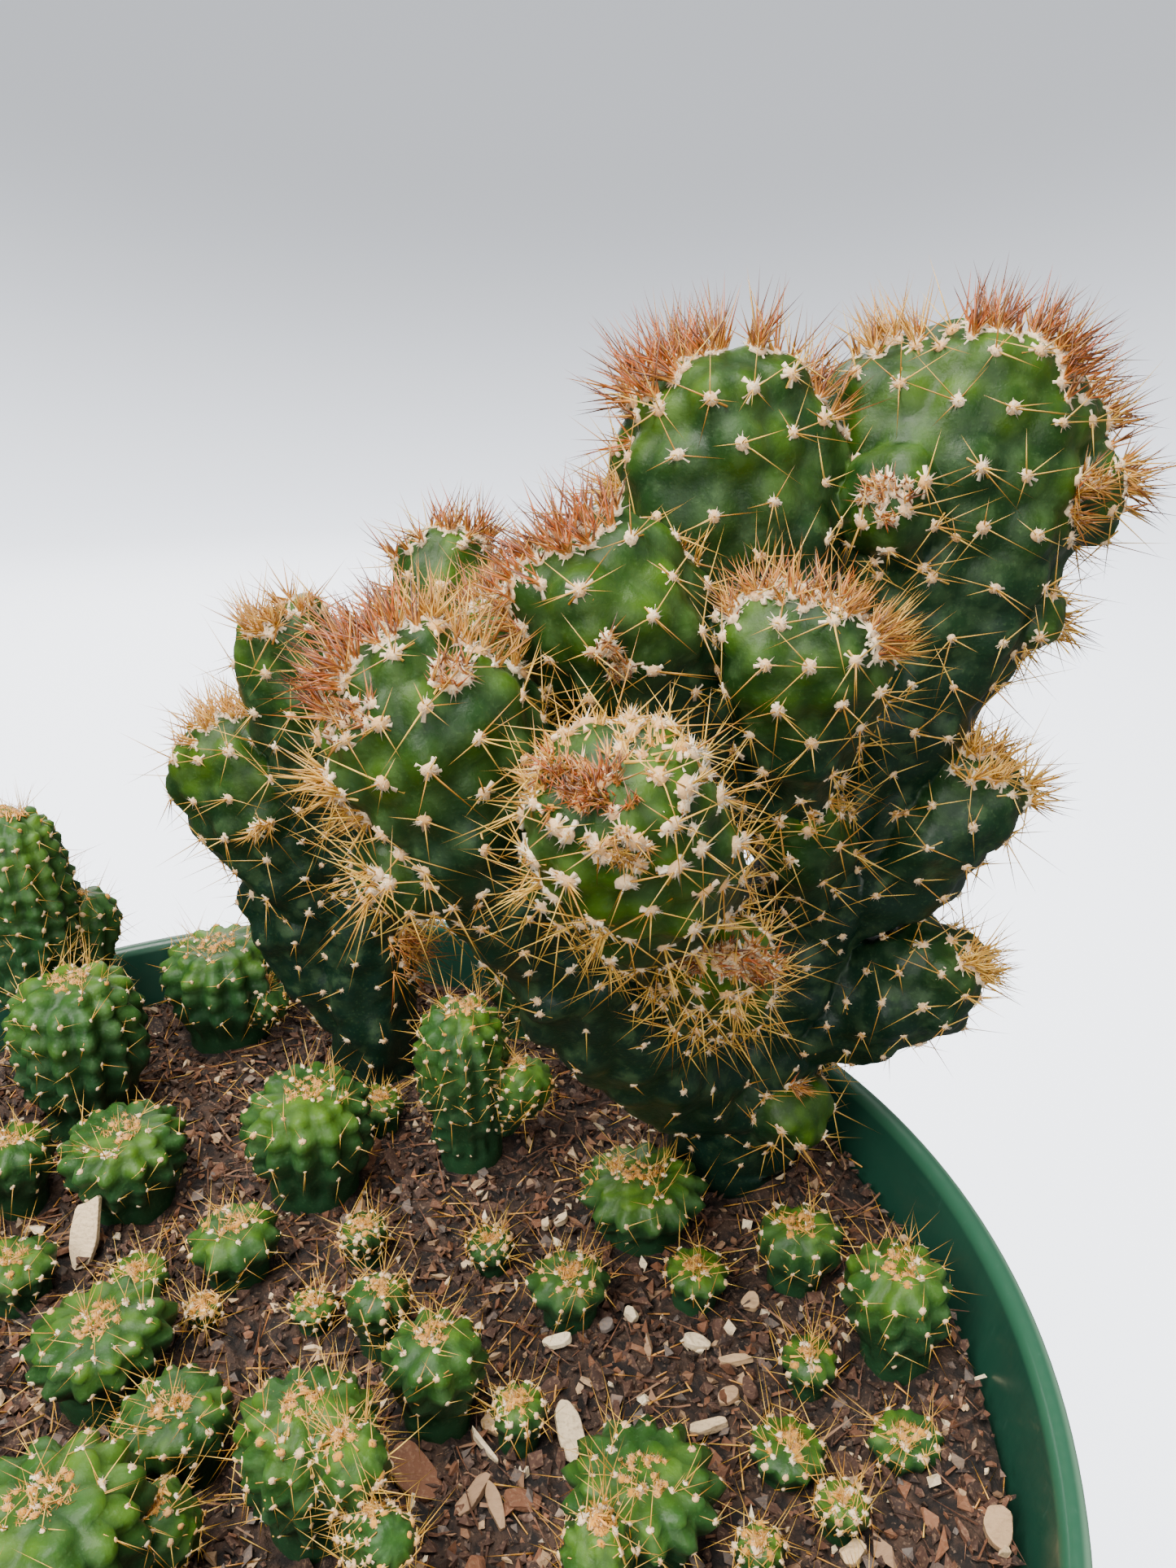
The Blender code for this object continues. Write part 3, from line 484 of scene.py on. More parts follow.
@dataclass(frozen=True)
class WoolFinish:
    """Felt and hairs of the areoles: red varies, blue is how tawny the wool is."""
    name: str = "areole_wool"
    cream: Colour = shade(255, 242, 210)
    pink: Colour = shade(238, 204, 164)
    tawny: Colour = shade(206, 140, 30)

    def material(self) -> Material:
        """Build the wool's material."""
        graph = Graph(self.name, self.cream, {"Roughness": 0.9, "Sheen Weight": 0.3})
        varied, _, warm = graph.tints()
        tone = graph.blend(varied, self.cream, self.pink)
        tone = graph.blend(warm, tone, self.tawny)
        graph.colour(tone)
        graph.bump(graph.noise(0.35, 3.0), 0.15)
        return graph.material


@dataclass(frozen=True)
class SoilFinish:
    """Dark bark mix, with fibres and pale specks."""
    name: str = "bark_soil"
    dark: Colour = shade(22, 16, 14)
    brown: Colour = shade(72, 52, 40)
    dust: Colour = shade(128, 104, 86)

    def material(self) -> Material:
        """Build the soil's material."""
        graph = Graph(self.name, self.brown, {"Roughness": 0.95})
        lumps = graph.noise(3.0, 8.0)
        crumbs = graph.noise(0.9, 6.0)
        fibres = graph.noise(1.6, 3.0, (1.0, 0.25, 1.0))
        tone = graph.blend(graph.band(lumps, 0.38, 0.68), self.dark, self.brown)
        tone = graph.blend(graph.band(fibres, 0.55, 0.75, 0.7), tone, self.brown)
        tone = graph.blend(graph.band(crumbs, 0.58, 0.72, 0.7), tone, self.dust)
        graph.colour(tone)
        graph.bump(lumps, 1.6)
        graph.bump(crumbs, 0.9)
        return graph.material


@dataclass(frozen=True)
class LitterFinish:
    """Bark, wood and grit: the tint's red picks the colour."""
    name: str = "soil_litter"
    stops: tuple[tuple[float, Colour], ...] = (
        (0.0, shade(34, 24, 20)),
        (0.3, shade(76, 50, 38)),
        (0.5, shade(120, 76, 50)),
        (0.65, shade(148, 116, 88)),
        (0.82, shade(206, 172, 130)),
        (1.0, shade(240, 222, 186)),
    )
    grey: Colour = shade(108, 98, 92)

    def material(self) -> Material:
        """Build the litter's material."""
        graph = Graph(self.name, self.stops[1][1], {"Roughness": 0.82})
        kind, stony, _ = graph.tints()
        grain = graph.noise(0.9, 4.0, (0.3, 1.0, 1.0))
        mottle = graph.noise(0.5, 3.0)
        tone = graph.blend(stony, graph.ramp(kind, self.stops), self.grey)
        tone = graph.blend(graph.band(grain, 0.52, 0.76, 0.4), tone, self.stops[1][1])
        tone = graph.blend(graph.band(mottle, 0.52, 0.66, 0.35), tone, self.stops[3][1])
        graph.colour(tone)
        graph.bump(grain, 0.3)
        graph.bump(mottle, 0.12)
        return graph.material


@dataclass(frozen=True)
class PlasticFinish:
    """Dark green moulded plastic, with painted highlight along the top of the lip and its outer
    edge, and finely scratched inside.
    """
    name: str = "green_plastic"
    green: Colour = shade(28, 70, 54)
    inner: Colour = shade(18, 46, 38)
    # the next two colours are painted highlights on the rolled rim
    lip_highlight: Colour = shade(40, 84, 62)
    edge: Colour = shade(112, 152, 124)
    scuffed: Colour = shade(120, 160, 140)
    lip_level: float = 188.2
    edge_radius: float = 125.8

    def material(self) -> Material:
        """Build the plastic's material."""
        graph = Graph(self.name, self.green, {"Roughness": 0.36, "Coat Weight": 0.15})
        x, y, z = graph.axes()
        haze = graph.noise(18.0, 3.0)
        scratches = graph.noise(1.2, 4.0, (1.0, 1.0, 0.08))
        rings = graph.noise(2.2, 1.0, (0.02, 0.02, 1.0))
        tone = graph.blend(graph.band(haze, 0.3, 0.7, 0.3), self.green, self.inner)
        level = self.lip_level * MM
        # painted highlight: the top of the rolled lip is paler
        tone = graph.blend(graph.band(z, level - 0.0005, level + 0.0006, 0.9), tone, self.lip_highlight)
        # painted highlight: the outer edge of the lip's top is paler still
        across = graph.math("MULTIPLY", x, x)
        along = graph.math("MULTIPLY", y, y)
        radius = graph.math("SQRT", graph.math("ADD", across, along))
        outer = graph.band(radius, (self.edge_radius - 0.5) * MM, (self.edge_radius + 0.7) * MM)
        upper = graph.band(z, level - 0.003, level, 0.85)
        tone = graph.blend(graph.math("MULTIPLY", outer, upper), tone, self.edge)
        tone = graph.blend(graph.band(scratches, 0.66, 0.76, 0.05), tone, self.scuffed)
        graph.colour(tone)
        graph.roughness(graph.math("ADD", graph.band(scratches, 0.1, 0.8, 0.16), 0.28))
        graph.bump(rings, 0.04)
        graph.bump(haze, 0.05)
        return graph.material


@dataclass(frozen=True)
class BackdropFinish:
    """Matt paper that glows by itself, as painted light: bright on the table and fading up the
    wall.
    """
    name: str = "studio_paper"
    paper: Colour = shade(228, 230, 234)
    glow: Colour = shade(237, 243, 255)
    near: float = 2.75
    far: float = 0.46

    def material(self) -> Material:
        """Build the paper's material."""
        graph = Graph(self.name, self.paper, {"Roughness": 0.95, "Specular IOR Level": 0.1})
        _, y, z = graph.axes()
        # painted light: the paper's own glow, strongest near the plant and fading further away and
        # higher up
        away = graph.math("ADD", y, graph.math("MULTIPLY", z, 1.2))
        faded = graph.band(away, 0.9, 3.6, self.near - self.far)
        graph.shader.inputs["Emission Color"].default_value = self.glow
        graph.feed(graph.shader.inputs["Emission Strength"],
                   graph.math("SUBTRACT", self.near, faded))
        return graph.material


@dataclass(frozen=True)
class Stamp:
    """A small shape modelled once about its own Z axis, from its root at 0 to its tip at 1."""
    points: Array
    corners: Array

    @staticmethod
    def take(piece: Thing) -> "Stamp":
        """Read a modelled object's triangles and remove the object."""
        with Bench.editing(piece):
            bpy.ops.mesh.normals_make_consistent(inside=False)
            bpy.ops.mesh.quads_convert_to_tris()
        corners = np.array([tuple(face.vertices) for face in piece.data.polygons])
        stamp = Stamp(Bench.points(piece), corners)
        bpy.data.objects.remove(piece)
        return stamp


class Stamps:
    """The shapes that repeat: spine, hair, felt pad, flakes, chips and crumbs."""

    FLAKE_FORMS = 5
    CHIP_FORMS = 4
    CRUMB_FORMS = 3

    def __init__(self) -> None:
        """Model each shape once, and each kind of litter in a few forms."""
        self.spine = self.model_spine()
        self.hair = self.model_hair()
        self.pad = self.model_pad()
        self.flakes = [self.model_flake(index) for index in range(self.FLAKE_FORMS)]
        self.chips = [self.model_chip(index) for index in range(self.CHIP_FORMS)]
        self.crumbs = [self.model_crumb(index) for index in range(self.CRUMB_FORMS)]

    @staticmethod
    def model_spine() -> Stamp:
        """A three-sided spine that keeps its width for a third of its length, then narrows."""
        stem = Bench.primitive(
            bpy.ops.mesh.primitive_cone_add, "spine", vertices=3, radius1=1.0, radius2=0.8,
            depth=0.36, location=(0, 0, 0.18), end_fill_type="NGON")
        bpy.ops.object.mode_set(mode="EDIT")
        bpy.ops.mesh.select_all(action="DESELECT")
        bpy.ops.mesh.select_mode(type="FACE")
        bpy.ops.object.mode_set(mode="OBJECT")
        for face in stem.data.polygons:
            face.select = face.normal.z > 0.9
        bpy.ops.object.mode_set(mode="EDIT")
        bpy.ops.mesh.extrude_region_move(TRANSFORM_OT_translate={"value": (0, 0, 0.64)})
        bpy.ops.mesh.merge(type="CENTER")
        bpy.ops.mesh.select_mode(type="VERT")
        bpy.ops.object.mode_set(mode="OBJECT")
        return Stamp.take(stem)

    @staticmethod
    def model_hair() -> Stamp:
        """A hair: the thinnest closed needle."""
        return Stamp.take(Bench.primitive(
            bpy.ops.mesh.primitive_cone_add, "hair", vertices=3, radius1=1.0, radius2=0.0,
            depth=1.0, location=(0, 0, 0.5), end_fill_type="NGON"))

    @staticmethod
    def model_pad() -> Stamp:
        """A felt pad of unit radius, rough all over."""
        pad = Bench.primitive(
            bpy.ops.mesh.primitive_ico_sphere_add, "pad", subdivisions=1, radius=1.0)
        points = Bench.points(pad)
        Bench.set_points(pad, points * draws("pad").uniform(0.8, 1.15, (len(points), 1)))
        return Stamp.take(pad)

    @staticmethod
    def model_flake(index: int) -> Stamp:
        """A flake of bark with a bevelled, uneven edge."""
        rng = draws(f"flake_{index}")
        sides = 9
        flake = Bench.primitive(
            bpy.ops.mesh.primitive_cylinder_add, "flake", vertices=sides, radius=0.5, depth=1.0)
        points = Bench.points(flake)
        corner = np.round(np.arctan2(points[:, 1], points[:, 0]) / (TURN / sides)).astype(int)
        reach = rng.uniform(0.62, 1.15, sides)[corner % sides]
        points[:, :2] *= reach[:, None]
        points[:, 2] += rng.uniform(-0.3, 0.3, len(points)) + 0.8 * points[:, 0] ** 2
        Bench.set_points(flake, points)
        with Bench.editing(flake):
            bpy.ops.mesh.bevel(offset=0.05, segments=1, affect="EDGES")
        return Stamp.take(flake)

    @staticmethod
    def model_chip(index: int) -> Stamp:
        """A sharp sliver of bark, narrow at one end."""
        rng = draws(f"chip_{index}")
        chip = Bench.primitive(
            bpy.ops.mesh.primitive_cylinder_add, "chip", vertices=3 + index % 2, radius=0.5,
            depth=1.0)
        points = Bench.points(chip)
        points[:, 1] *= 1.0 - 0.7 * (points[:, 0] + 0.5)
        points += rng.uniform(-0.1, 0.1, points.shape)
        Bench.set_points(chip, points)
        return Stamp.take(chip)

    @staticmethod
    def model_crumb(index: int) -> Stamp:
        """A broken crumb of soil or grit, with as few faces as a crumb can have."""
        rng = draws(f"crumb_{index}")
        crumb = Bench.primitive(
            bpy.ops.mesh.primitive_cone_add, "crumb", vertices=4 + index % 2, radius1=0.58,
            radius2=0.0, depth=0.5, location=(0, 0, 0.25), end_fill_type="TRIFAN")
        points = Bench.points(crumb)
        hub = np.hypot(points[:, 0], points[:, 1]) < 0.1
        points[hub & (points[:, 2] < 0.1), 2] = -0.45
        points[~hub, 2] += rng.uniform(-0.22, 0.22, int(np.sum(~hub)))
        Bench.set_points(crumb, points * rng.uniform(0.7, 1.2, (len(points), 3)))
        return Stamp.take(crumb)


class Scatter:
    """Copies of stamps gathered in one mesh."""

    def __init__(self) -> None:
        """Start with no copies."""
        self.points: list[Array] = []
        self.corners: list[Array] = []
        self.tints: list[Array] = []
        self.count = 0

    def add(self, stamp: Stamp, places: Array, ups: Array, sizes: Array,
            tints: Array, rng: np.random.Generator, bend: float = 0.0,
            along: bool = False) -> None:
        """Copy a stamp to many places.

        Args:
            stamp: The shape.
            places: Where each copy's root lies, in millimetres.
            ups: Direction of each copy's Z axis.
            sizes: Width, depth and length of each copy.
            tints: Colour of each copy.
            rng: Draws for the turn about each copy's axis.
            bend: How far a copy's tip strays, as a share of its length.
            along: Whether the tint's red runs from root to tip.
        """
        if not len(places):
            return
        ups = unit(ups)
        side = unit(np.cross(ups, rng.normal(size=ups.shape)))
        other = np.cross(ups, side)
        shape = stamp.points
        spread = (
            side[:, None, :] * (shape[None, :, 0:1] * sizes[:, None, 0:1])
            + other[:, None, :] * (shape[None, :, 1:2] * sizes[:, None, 1:2])
            + ups[:, None, :] * (shape[None, :, 2:3] * sizes[:, None, 2:3]))
        if bend:
            lean = rng.normal(size=(len(places), 1)) * sizes[:, 2:3] * bend
            spread += side[:, None, :] * lean[:, None, :] * (shape[None, :, 2:3] ** 2)
        made = (places[:, None, :] + spread).reshape(-1, 3)
        colours = np.repeat(tints, len(shape), axis=0)
        if along:
            colours[:, 0] = np.tile(shape[:, 2], len(places))
        starts = self.count + np.arange(len(places)) * len(shape)
        self.points.append(made)
        self.corners.append((stamp.corners[None] + starts[:, None, None]).reshape(-1, 3))
        self.tints.append(colours)
        self.count += len(made)

    def add_one(self, points: Array, corners: Array, tint: Triple) -> None:
        """Add one shape, already in its place in millimetres, with one colour."""
        self.points.append(points)
        self.corners.append(corners + self.count)
        self.tints.append(np.tile(tint, (len(points), 1)))
        self.count += len(points)

    def model(self, name: str) -> Thing:
        """Make one object of all the copies.

        Args:
            name: The new object's name.

        Returns:
            The object, with its tints.
        """
        mesh = bpy.data.meshes.new(name)
        points = np.concatenate(self.points) * MM
        mesh.from_pydata(points.tolist(), [], np.concatenate(self.corners).tolist())
        made = bpy.data.objects.new(name, mesh)
        bpy.context.scene.collection.objects.link(made)
        Bench.tint(made, np.concatenate(self.tints))
        return made


@dataclass(frozen=True)
class Crest:
    """A strip of crowded growing points on a head.

    Its path is a list of directions from the head's heart. A single direction makes a tuft.
    """
    path: tuple[Triple, ...] = ((0.0, 0.0, 1.0),)
    width: float = 6.0
    spines: int = 60
    length: tuple[float, float] = (7.0, 12.0)
    rust: float = 1.0  # 1 is rust brown and 0 is golden
    fan: float = 40.0  # widest angle between a spine and its areole's direction
    wool: float = 1.0
    bundle: int = 8  # spines of one areole
    fine: bool = False  # made of the thinnest needles
    stout: float = 1.45  # thickness of a spine, over the plant's other spines
    warm: tuple[float, float] = (0.1, 0.45)  # how tawny the wool is


@dataclass(frozen=True)
class Shoot:
    """One stem or head, as on the solid: an axis from its foot to its crown."""
    foot: Triple
    crown: Triple
    foot_radius: float
    head_radius: float
    ribs: int = 6
    flat: float = 1.0
    turn: float = 0.0
    bend: Triple = (0.0, 0.0, 0.0)
    swell: float = 0.6
    shoulder: float = 0.62
    root: float = 0.0
    crests: tuple[Crest, ...] = (Crest(),)
    age: float = 0.0  # how much of the head's freshness is gone, which deepens its green: older skin, and painted shade


SOIL_LEVEL = 175.0
NECK = 3.4
ROOT_DEPTH = 9.0
TRUNK_DEPTH = 14.0
SMALL = Crest(spines=34, width=4.5, length=(5.0, 9.0), rust=0.7)
BARE = ()

CLUMP = (
    Shoot((85, 55, SOIL_LEVEL + NECK), (100, 51, 252), 13.0, 11.5, 6, swell=0.5, shoulder=0.8,
          root=TRUNK_DEPTH + NECK, crests=BARE, age=0.95),
    Shoot((80, 54, 190), (52, 38, 240), 10.0, 12.0, 6, bend=(-2, 0, -4), swell=0.5,
          shoulder=0.7, crests=BARE, age=0.95),
    # the tall right-hand head
    Shoot((99, 51, 236), (116, 52, 333), 8.5, 22.0, 8, 0.72, -8, (1, 0, 0), 0.74, 0.73, crests=(
        Crest(((0.05, -0.16, 0.99), (0.28, -0.19, 0.94), (0.56, -0.29, 0.78)), 9.0, 230, (7, 13)),
        Crest(((0.5, 0.1, 0.85), (0.8, 0.0, 0.6), (0.95, -0.1, 0.2)), 7.0, 110, (7, 13), 0.75),
        Crest(((-0.45, 0.02, 0.89), (-0.2, -0.04, 0.97)), 6.0, 70, (7, 13), 0.55, 46),
        Crest(((0.83, -0.32, 0.46), (0.89, -0.36, 0.2)), 7.0, 70, (7, 12), 0.7, 46),
        Crest(((-0.2, 0.5, 0.85), (0.4, 0.55, 0.75)), 7.0, 80, (7, 12), 0.7, 44),
    )),
    Shoot((110, 48, 297), (98, 36, 314), 6.0, 8.0, 4, crests=(
        Crest(((-0.4, -0.83, 0.4),), 7.5, 90, (3, 6), 0.8, 58),)),
    Shoot((120, 52, 306), (140, 50, 310), 9.0, 8.5, 4, crests=(
        Crest(((0.85, -0.45, 0.3),), 7.5, 60, (7, 13), 0.6, 44),
        Crest(((0.14, -0.93, 0.35),), 4.0, 26, (4, 8), 0.5, 56))),
    Shoot((116, 51, 292), (132, 47, 289), 7.0, 7.0, 4, crests=(
        Crest(((0.9, -0.3, -0.2),), 4.0, 24, (7, 12), 0.3, 50),)),
    Shoot((108, 54, 274), (125, 60, 283), 6.0, 6.5, 4, crests=(
        Crest(((0.8, -0.4, 0.4),), 5.0, 40, (6, 11), 0.5, 48),)),
    # the middle head beside it
    Shoot((92, 50, 252), (74, 43, 330), 8.0, 18.2, 7, 0.8, 6, (-2, 0, 0), 0.7, 0.66, crests=(
        Crest(((-0.6, -0.2, 0.78), (-0.42, -0.14, 0.9), (-0.28, -0.03, 0.96)), 10.0, 250, (7, 14)),
        Crest(((-0.3, -0.03, 0.95), (-0.05, -0.1, 0.99), (0.32, -0.1, 0.94), (0.52, -0.1, 0.84)),
              6.5, 190, (7, 14), 0.85, 40),
        Crest(((0.2, 0.6, 0.8), (-0.4, 0.5, 0.75)), 6.0, 70, (8, 13), 0.8, 40),
        Crest(((-0.8, -0.2, 0.45),), 4.0, 24, (8, 13), 0.15, 50),
    )),
    # two heads in front of it and lower, and one behind them
    Shoot((80, 44, 258), (53, 21, 307), 9.0, 14.5, 6, 0.88, 20, swell=0.7, crests=(
        Crest(((-0.62, -0.4, 0.65), (-0.47, -0.27, 0.84), (-0.24, -0.3, 0.9)), 9.0, 190, (7, 13)),
        Crest(((-0.36, -0.82, 0.44), (-0.28, -0.89, 0.37), (-0.24, -0.95, 0.22)), 4.0, 60,
              (3, 6), 0.75, 58),
        Crest(((-0.76, -0.39, 0.52), (-0.82, -0.43, 0.38)), 5.0, 50, (6, 12), 0.8, 46),
        Crest(((0.1, 0.2, 0.95), (0.5, 0.1, 0.85)), 5.0, 44, (7, 12), 0.4, 44),
    )),
    Shoot((90, 44, 256), (85, 19, 299), 8.0, 13.0, 6, 0.72, -20, swell=0.7, crests=(
        Crest(((-0.51, -0.3, 0.81), (-0.25, -0.32, 0.92), (0.06, -0.42, 0.9), (0.31, -0.5, 0.81),
               (0.55, -0.56, 0.6)), 8.5, 270, (4, 10), 0.72, 48),
        Crest(((0.62, -0.4, 0.62),), 6.0, 40, (8, 13), 0.2, 46),
    )),
    Shoot((64, 46, 240), (40, 44, 294), 8.0, 12.0, 6, crests=(
        Crest(((-0.5, -0.07, 0.86), (-0.22, -0.03, 0.97), (0.35, -0.1, 0.94)), 9.0, 170, (7, 12),
              0.85, 40),)),
    # the low limb that reaches to the left, and the heads it carries
    Shoot((84, 52, 192), (50, 22, 250), 10.0, 13.0, 6, bend=(-4, -2, -4), swell=0.5,
          shoulder=0.8, crests=BARE, age=0.95),
    Shoot((56, 24, 240), (28.5, 10, 297), 10.0, 15.2, 7, 0.85, 25, (0, -3, -2), 0.55, 0.6,
          crests=(
              Crest(((-0.66, -0.28, 0.7), (-0.51, -0.2, 0.84), (-0.34, -0.12, 0.93)), 10.0, 250,
                    (6, 12)),
              Crest(((-0.68, -0.4, 0.62), (-0.55, -0.45, 0.7), (-0.43, -0.52, 0.74)), 5.0, 80,
                    (3, 6), 0.85, 56),
              Crest(((-0.24, -0.39, 0.89), (-0.12, -0.42, 0.9), (-0.02, -0.43, 0.9)), 4.5, 60,
                    (3, 7), 0.85, 56),
              Crest(((-0.33, -0.1, 0.94), (-0.1, -0.09, 0.99), (0.2, -0.07, 0.98)), 6.0, 90,
                    (7, 12), 0.5, 44),
              Crest(((-0.8, -0.45, 0.39), (-0.84, -0.52, 0.15)), 6.0, 60, (6, 12), 0.25, 48),
              Crest(((-0.3, 0.55, 0.75),), 6.0, 40, (7, 12), 0.6, 44),
          )),
    Shoot((42, 16, 256), (26, 4, 268), 5.5, 6.0, 4, crests=(
        Crest(((-0.55, -0.82, 0.2),), 5.0, 24, (9, 19), 0.04, 72, stout=1.0),)),
    Shoot((67, 22, 246), (58.6, -17, 289.5), 9.0, 13.3, 7, 0.92, 0, (1, 0, -3), 0.6, 0.6,
          age=-0.35, crests=(
              Crest(((-0.48, -0.49, 0.73), (-0.33, -0.47, 0.82), (-0.08, -0.47, 0.88),
                     (0.1, -0.6, 0.8)), 9.0, 190, (3, 7), 0.25, 62, wool=0.3, fine=True,
                    stout=2.4, warm=(0.6, 0.9)),
              Crest(((-0.42, -0.58, 0.7), (-0.3, -0.66, 0.7), (-0.11, -0.71, 0.7)), 6.5, 230,
                    (3, 6.5), 0.9, 50, wool=0.25, warm=(0.5, 0.9)),
              Crest(((-0.04, -0.82, 0.57), (-0.12, -0.88, 0.45)), 5.0, 70, (2, 4.5), 0.45, 62,
                    wool=0.6, warm=(0.5, 0.9)),
              Crest(((-0.5, -0.75, 0.45), (-0.2, -0.85, 0.5), (0.1, -0.8, 0.6),
                     (0.25, -0.65, 0.72)), 9.0, 46, (1.7, 3.4), 0.4, 72, bundle=6),
              Crest(((-0.72, -0.63, 0.29),), 6.0, 14, (7, 15), 0.06, 66, stout=1.0),
              Crest(((-0.56, -0.56, 0.62), (-0.6, -0.3, 0.74)), 5.0, 40, (3, 7), 0.6, 56),
              Crest(((-0.34, -0.92, -0.21),), 3.0, 12, (5, 9), 0.1, 70),
              Crest(((0.2, 0.1, 0.97), (-0.2, 0.2, 0.95)), 6.0, 40, (5, 9), 0.2, 44),
          )),
    Shoot((76, 36, 226), (74.5, -1, 257), 6.5, 8.6, 6, 0.9, 0, (0, 0, -4), 0.6, 0.6, crests=(
        Crest(((-0.35, -0.72, 0.6), (0.1, -0.77, 0.63), (0.45, -0.7, 0.55)), 5.5, 150, (3.5, 7),
              0.85, 52, warm=(0.4, 0.8)),
        Crest(((-0.12, -0.87, 0.48), (0.3, -0.9, 0.3)), 5.0, 18, (5, 12), 0.08, 60, stout=1.0))),
    # heads behind the front ones and over the rim
    Shoot((96, 50, 234), (89.5, 33, 266), 6.5, 8.0, 4, crests=(
        Crest(((-0.28, -0.29, 0.92), (-0.14, -0.56, 0.81), (0.02, -0.69, 0.72)), 5.5, 84, (4, 9),
              0.3, 52),)),
    Shoot((97, 51, 230), (124, 48, 268), 8.0, 12.0, 6, bend=(4, 0, -4), crests=(
        Crest(((0.25, -0.38, 0.89), (0.46, -0.38, 0.79)), 8.0, 110, (6, 12), 0.25, 44),
        Crest(((0.75, -0.3, 0.5),), 5.0, 34, (7, 12), 0.15, 48)), age=0.4),
    Shoot((94, 52, 208), (124.5, 46, 230), 8.5, 11.5, 6, bend=(2, 0, -4), crests=(
        Crest(((0.61, -0.41, 0.68), (0.79, -0.41, 0.45)), 6.5, 90, (6, 11), 0.15, 48),),
          age=0.45),
    Shoot((89, 51, 187), (98, 42, 198), 6.5, 8.0, 5, crests=(SMALL,)),
    Shoot((90, 58, 188), (104, 60, 204), 5.5, 6.0, 4, crests=(SMALL,)),
    Shoot((96, 54, 238), (84, 74, 272), 7.0, 11.0, 6, crests=(
        Crest(((-0.2, 0.3, 0.9),), 8.0, 80, (7, 12), 0.7, 40),)),
    Shoot((90, 58, 204), (78, 80, 226), 7.0, 9.0, 5, crests=(SMALL,)),
)

BACK_CLUMP = (
    Shoot((8, 84, SOIL_LEVEL + NECK), (8, 82, 232), 9.5, 10.0, 5, swell=0.4, shoulder=0.75,
          root=ROOT_DEPTH + NECK, age=0.9, crests=(
              Crest(((0.8, -0.6, 0.0), (0.9, -0.4, -0.6), (0.9, -0.4, -1.4)), 9.0, 110, (8, 17),
                    0.7, 66, wool=0.3, stout=1.2),)),
    Shoot((4, 84, 190), (-9, 82, 236), 7.5, 10.0, 5, bend=(-5, 0, -4), crests=BARE, age=0.85),
    Shoot((6, 83, 212), (-16, 79, 262), 7.5, 14.5, 6, 0.9, bend=(-4, 0, -3), crests=(
        Crest(((-0.46, -0.3, 0.83), (-0.17, -0.09, 0.98), (0.23, -0.09, 0.97)), 9.0, 150, (6, 12),
              0.45, 42),
        Crest(((0.2, -0.93, 0.2),), 6.0, 34, (5, 9), 0.3, 50))),
    Shoot((8, 81, 222), (0, 72, 286), 6.5, 10.8, 5, crests=(
        Crest(((-0.27, -0.29, 0.92), (0.12, -0.23, 0.97)), 8.0, 120, (6, 12), 0.5, 42),)),
    Shoot((10, 81, 214), (32, 75, 299), 7.0, 13.0, 6, 0.85, bend=(4, 0, -6), crests=(
        Crest(((-0.25, -0.2, 0.95), (0.19, -0.06, 0.98), (0.4, -0.1, 0.9)), 9.0, 160, (7, 13),
              0.85, 40),)),
)


@dataclass(frozen=True)
class Offset:
    """One low offset, or a few grown together: (x, y, radius, height) for each crown."""
    name: str
    crowns: tuple[tuple[float, float, float, float], ...]
    lean: tuple[float, float] = (0.0, 0.0)

    def shoots(self) -> tuple[Shoot, ...]:
        """The stems of the offset, the first in the soil and the others grown from it."""
        made = []
        first_x, first_y = self.crowns[0][:2]
        for index, (x, y, radius, height) in enumerate(self.crowns):
            crown = (x + self.lean[0], y + self.lean[1], SOIL_LEVEL + height)
            ribs = 6 if radius > 8.0 else 5
            tuft = Crest(width=radius * 0.7, spines=int(80 + radius * 16), length=(1.7, 3.8),
                         rust=0.5, fan=70.0, wool=0.5, bundle=7, fine=True, stout=2.3,
                         warm=(0.9, 1.0))
            rays = Crest(width=radius * 1.4, spines=int(9 + radius * 2.0), length=(6.0, 14.0),
                         rust=0.08, fan=56.0, wool=1.0, bundle=3, stout=1.0)
            if index == 0:
                neck = min(NECK, height * 0.25)
                made.append(Shoot(
                    (x, y, SOIL_LEVEL + neck), crown, radius * 0.78, radius, ribs,
                    swell=0.42, shoulder=0.58, root=ROOT_DEPTH + neck, crests=(tuft, rays)))
            else:
                foot = (x + (first_x - x) * 0.55, y + (first_y - y) * 0.55,
                        SOIL_LEVEL + height * 0.35)
                made.append(Shoot(foot, crown, radius * 0.7, radius, ribs, swell=0.5,
                                  shoulder=0.6, crests=(tuft, rays)))
        return tuple(made)


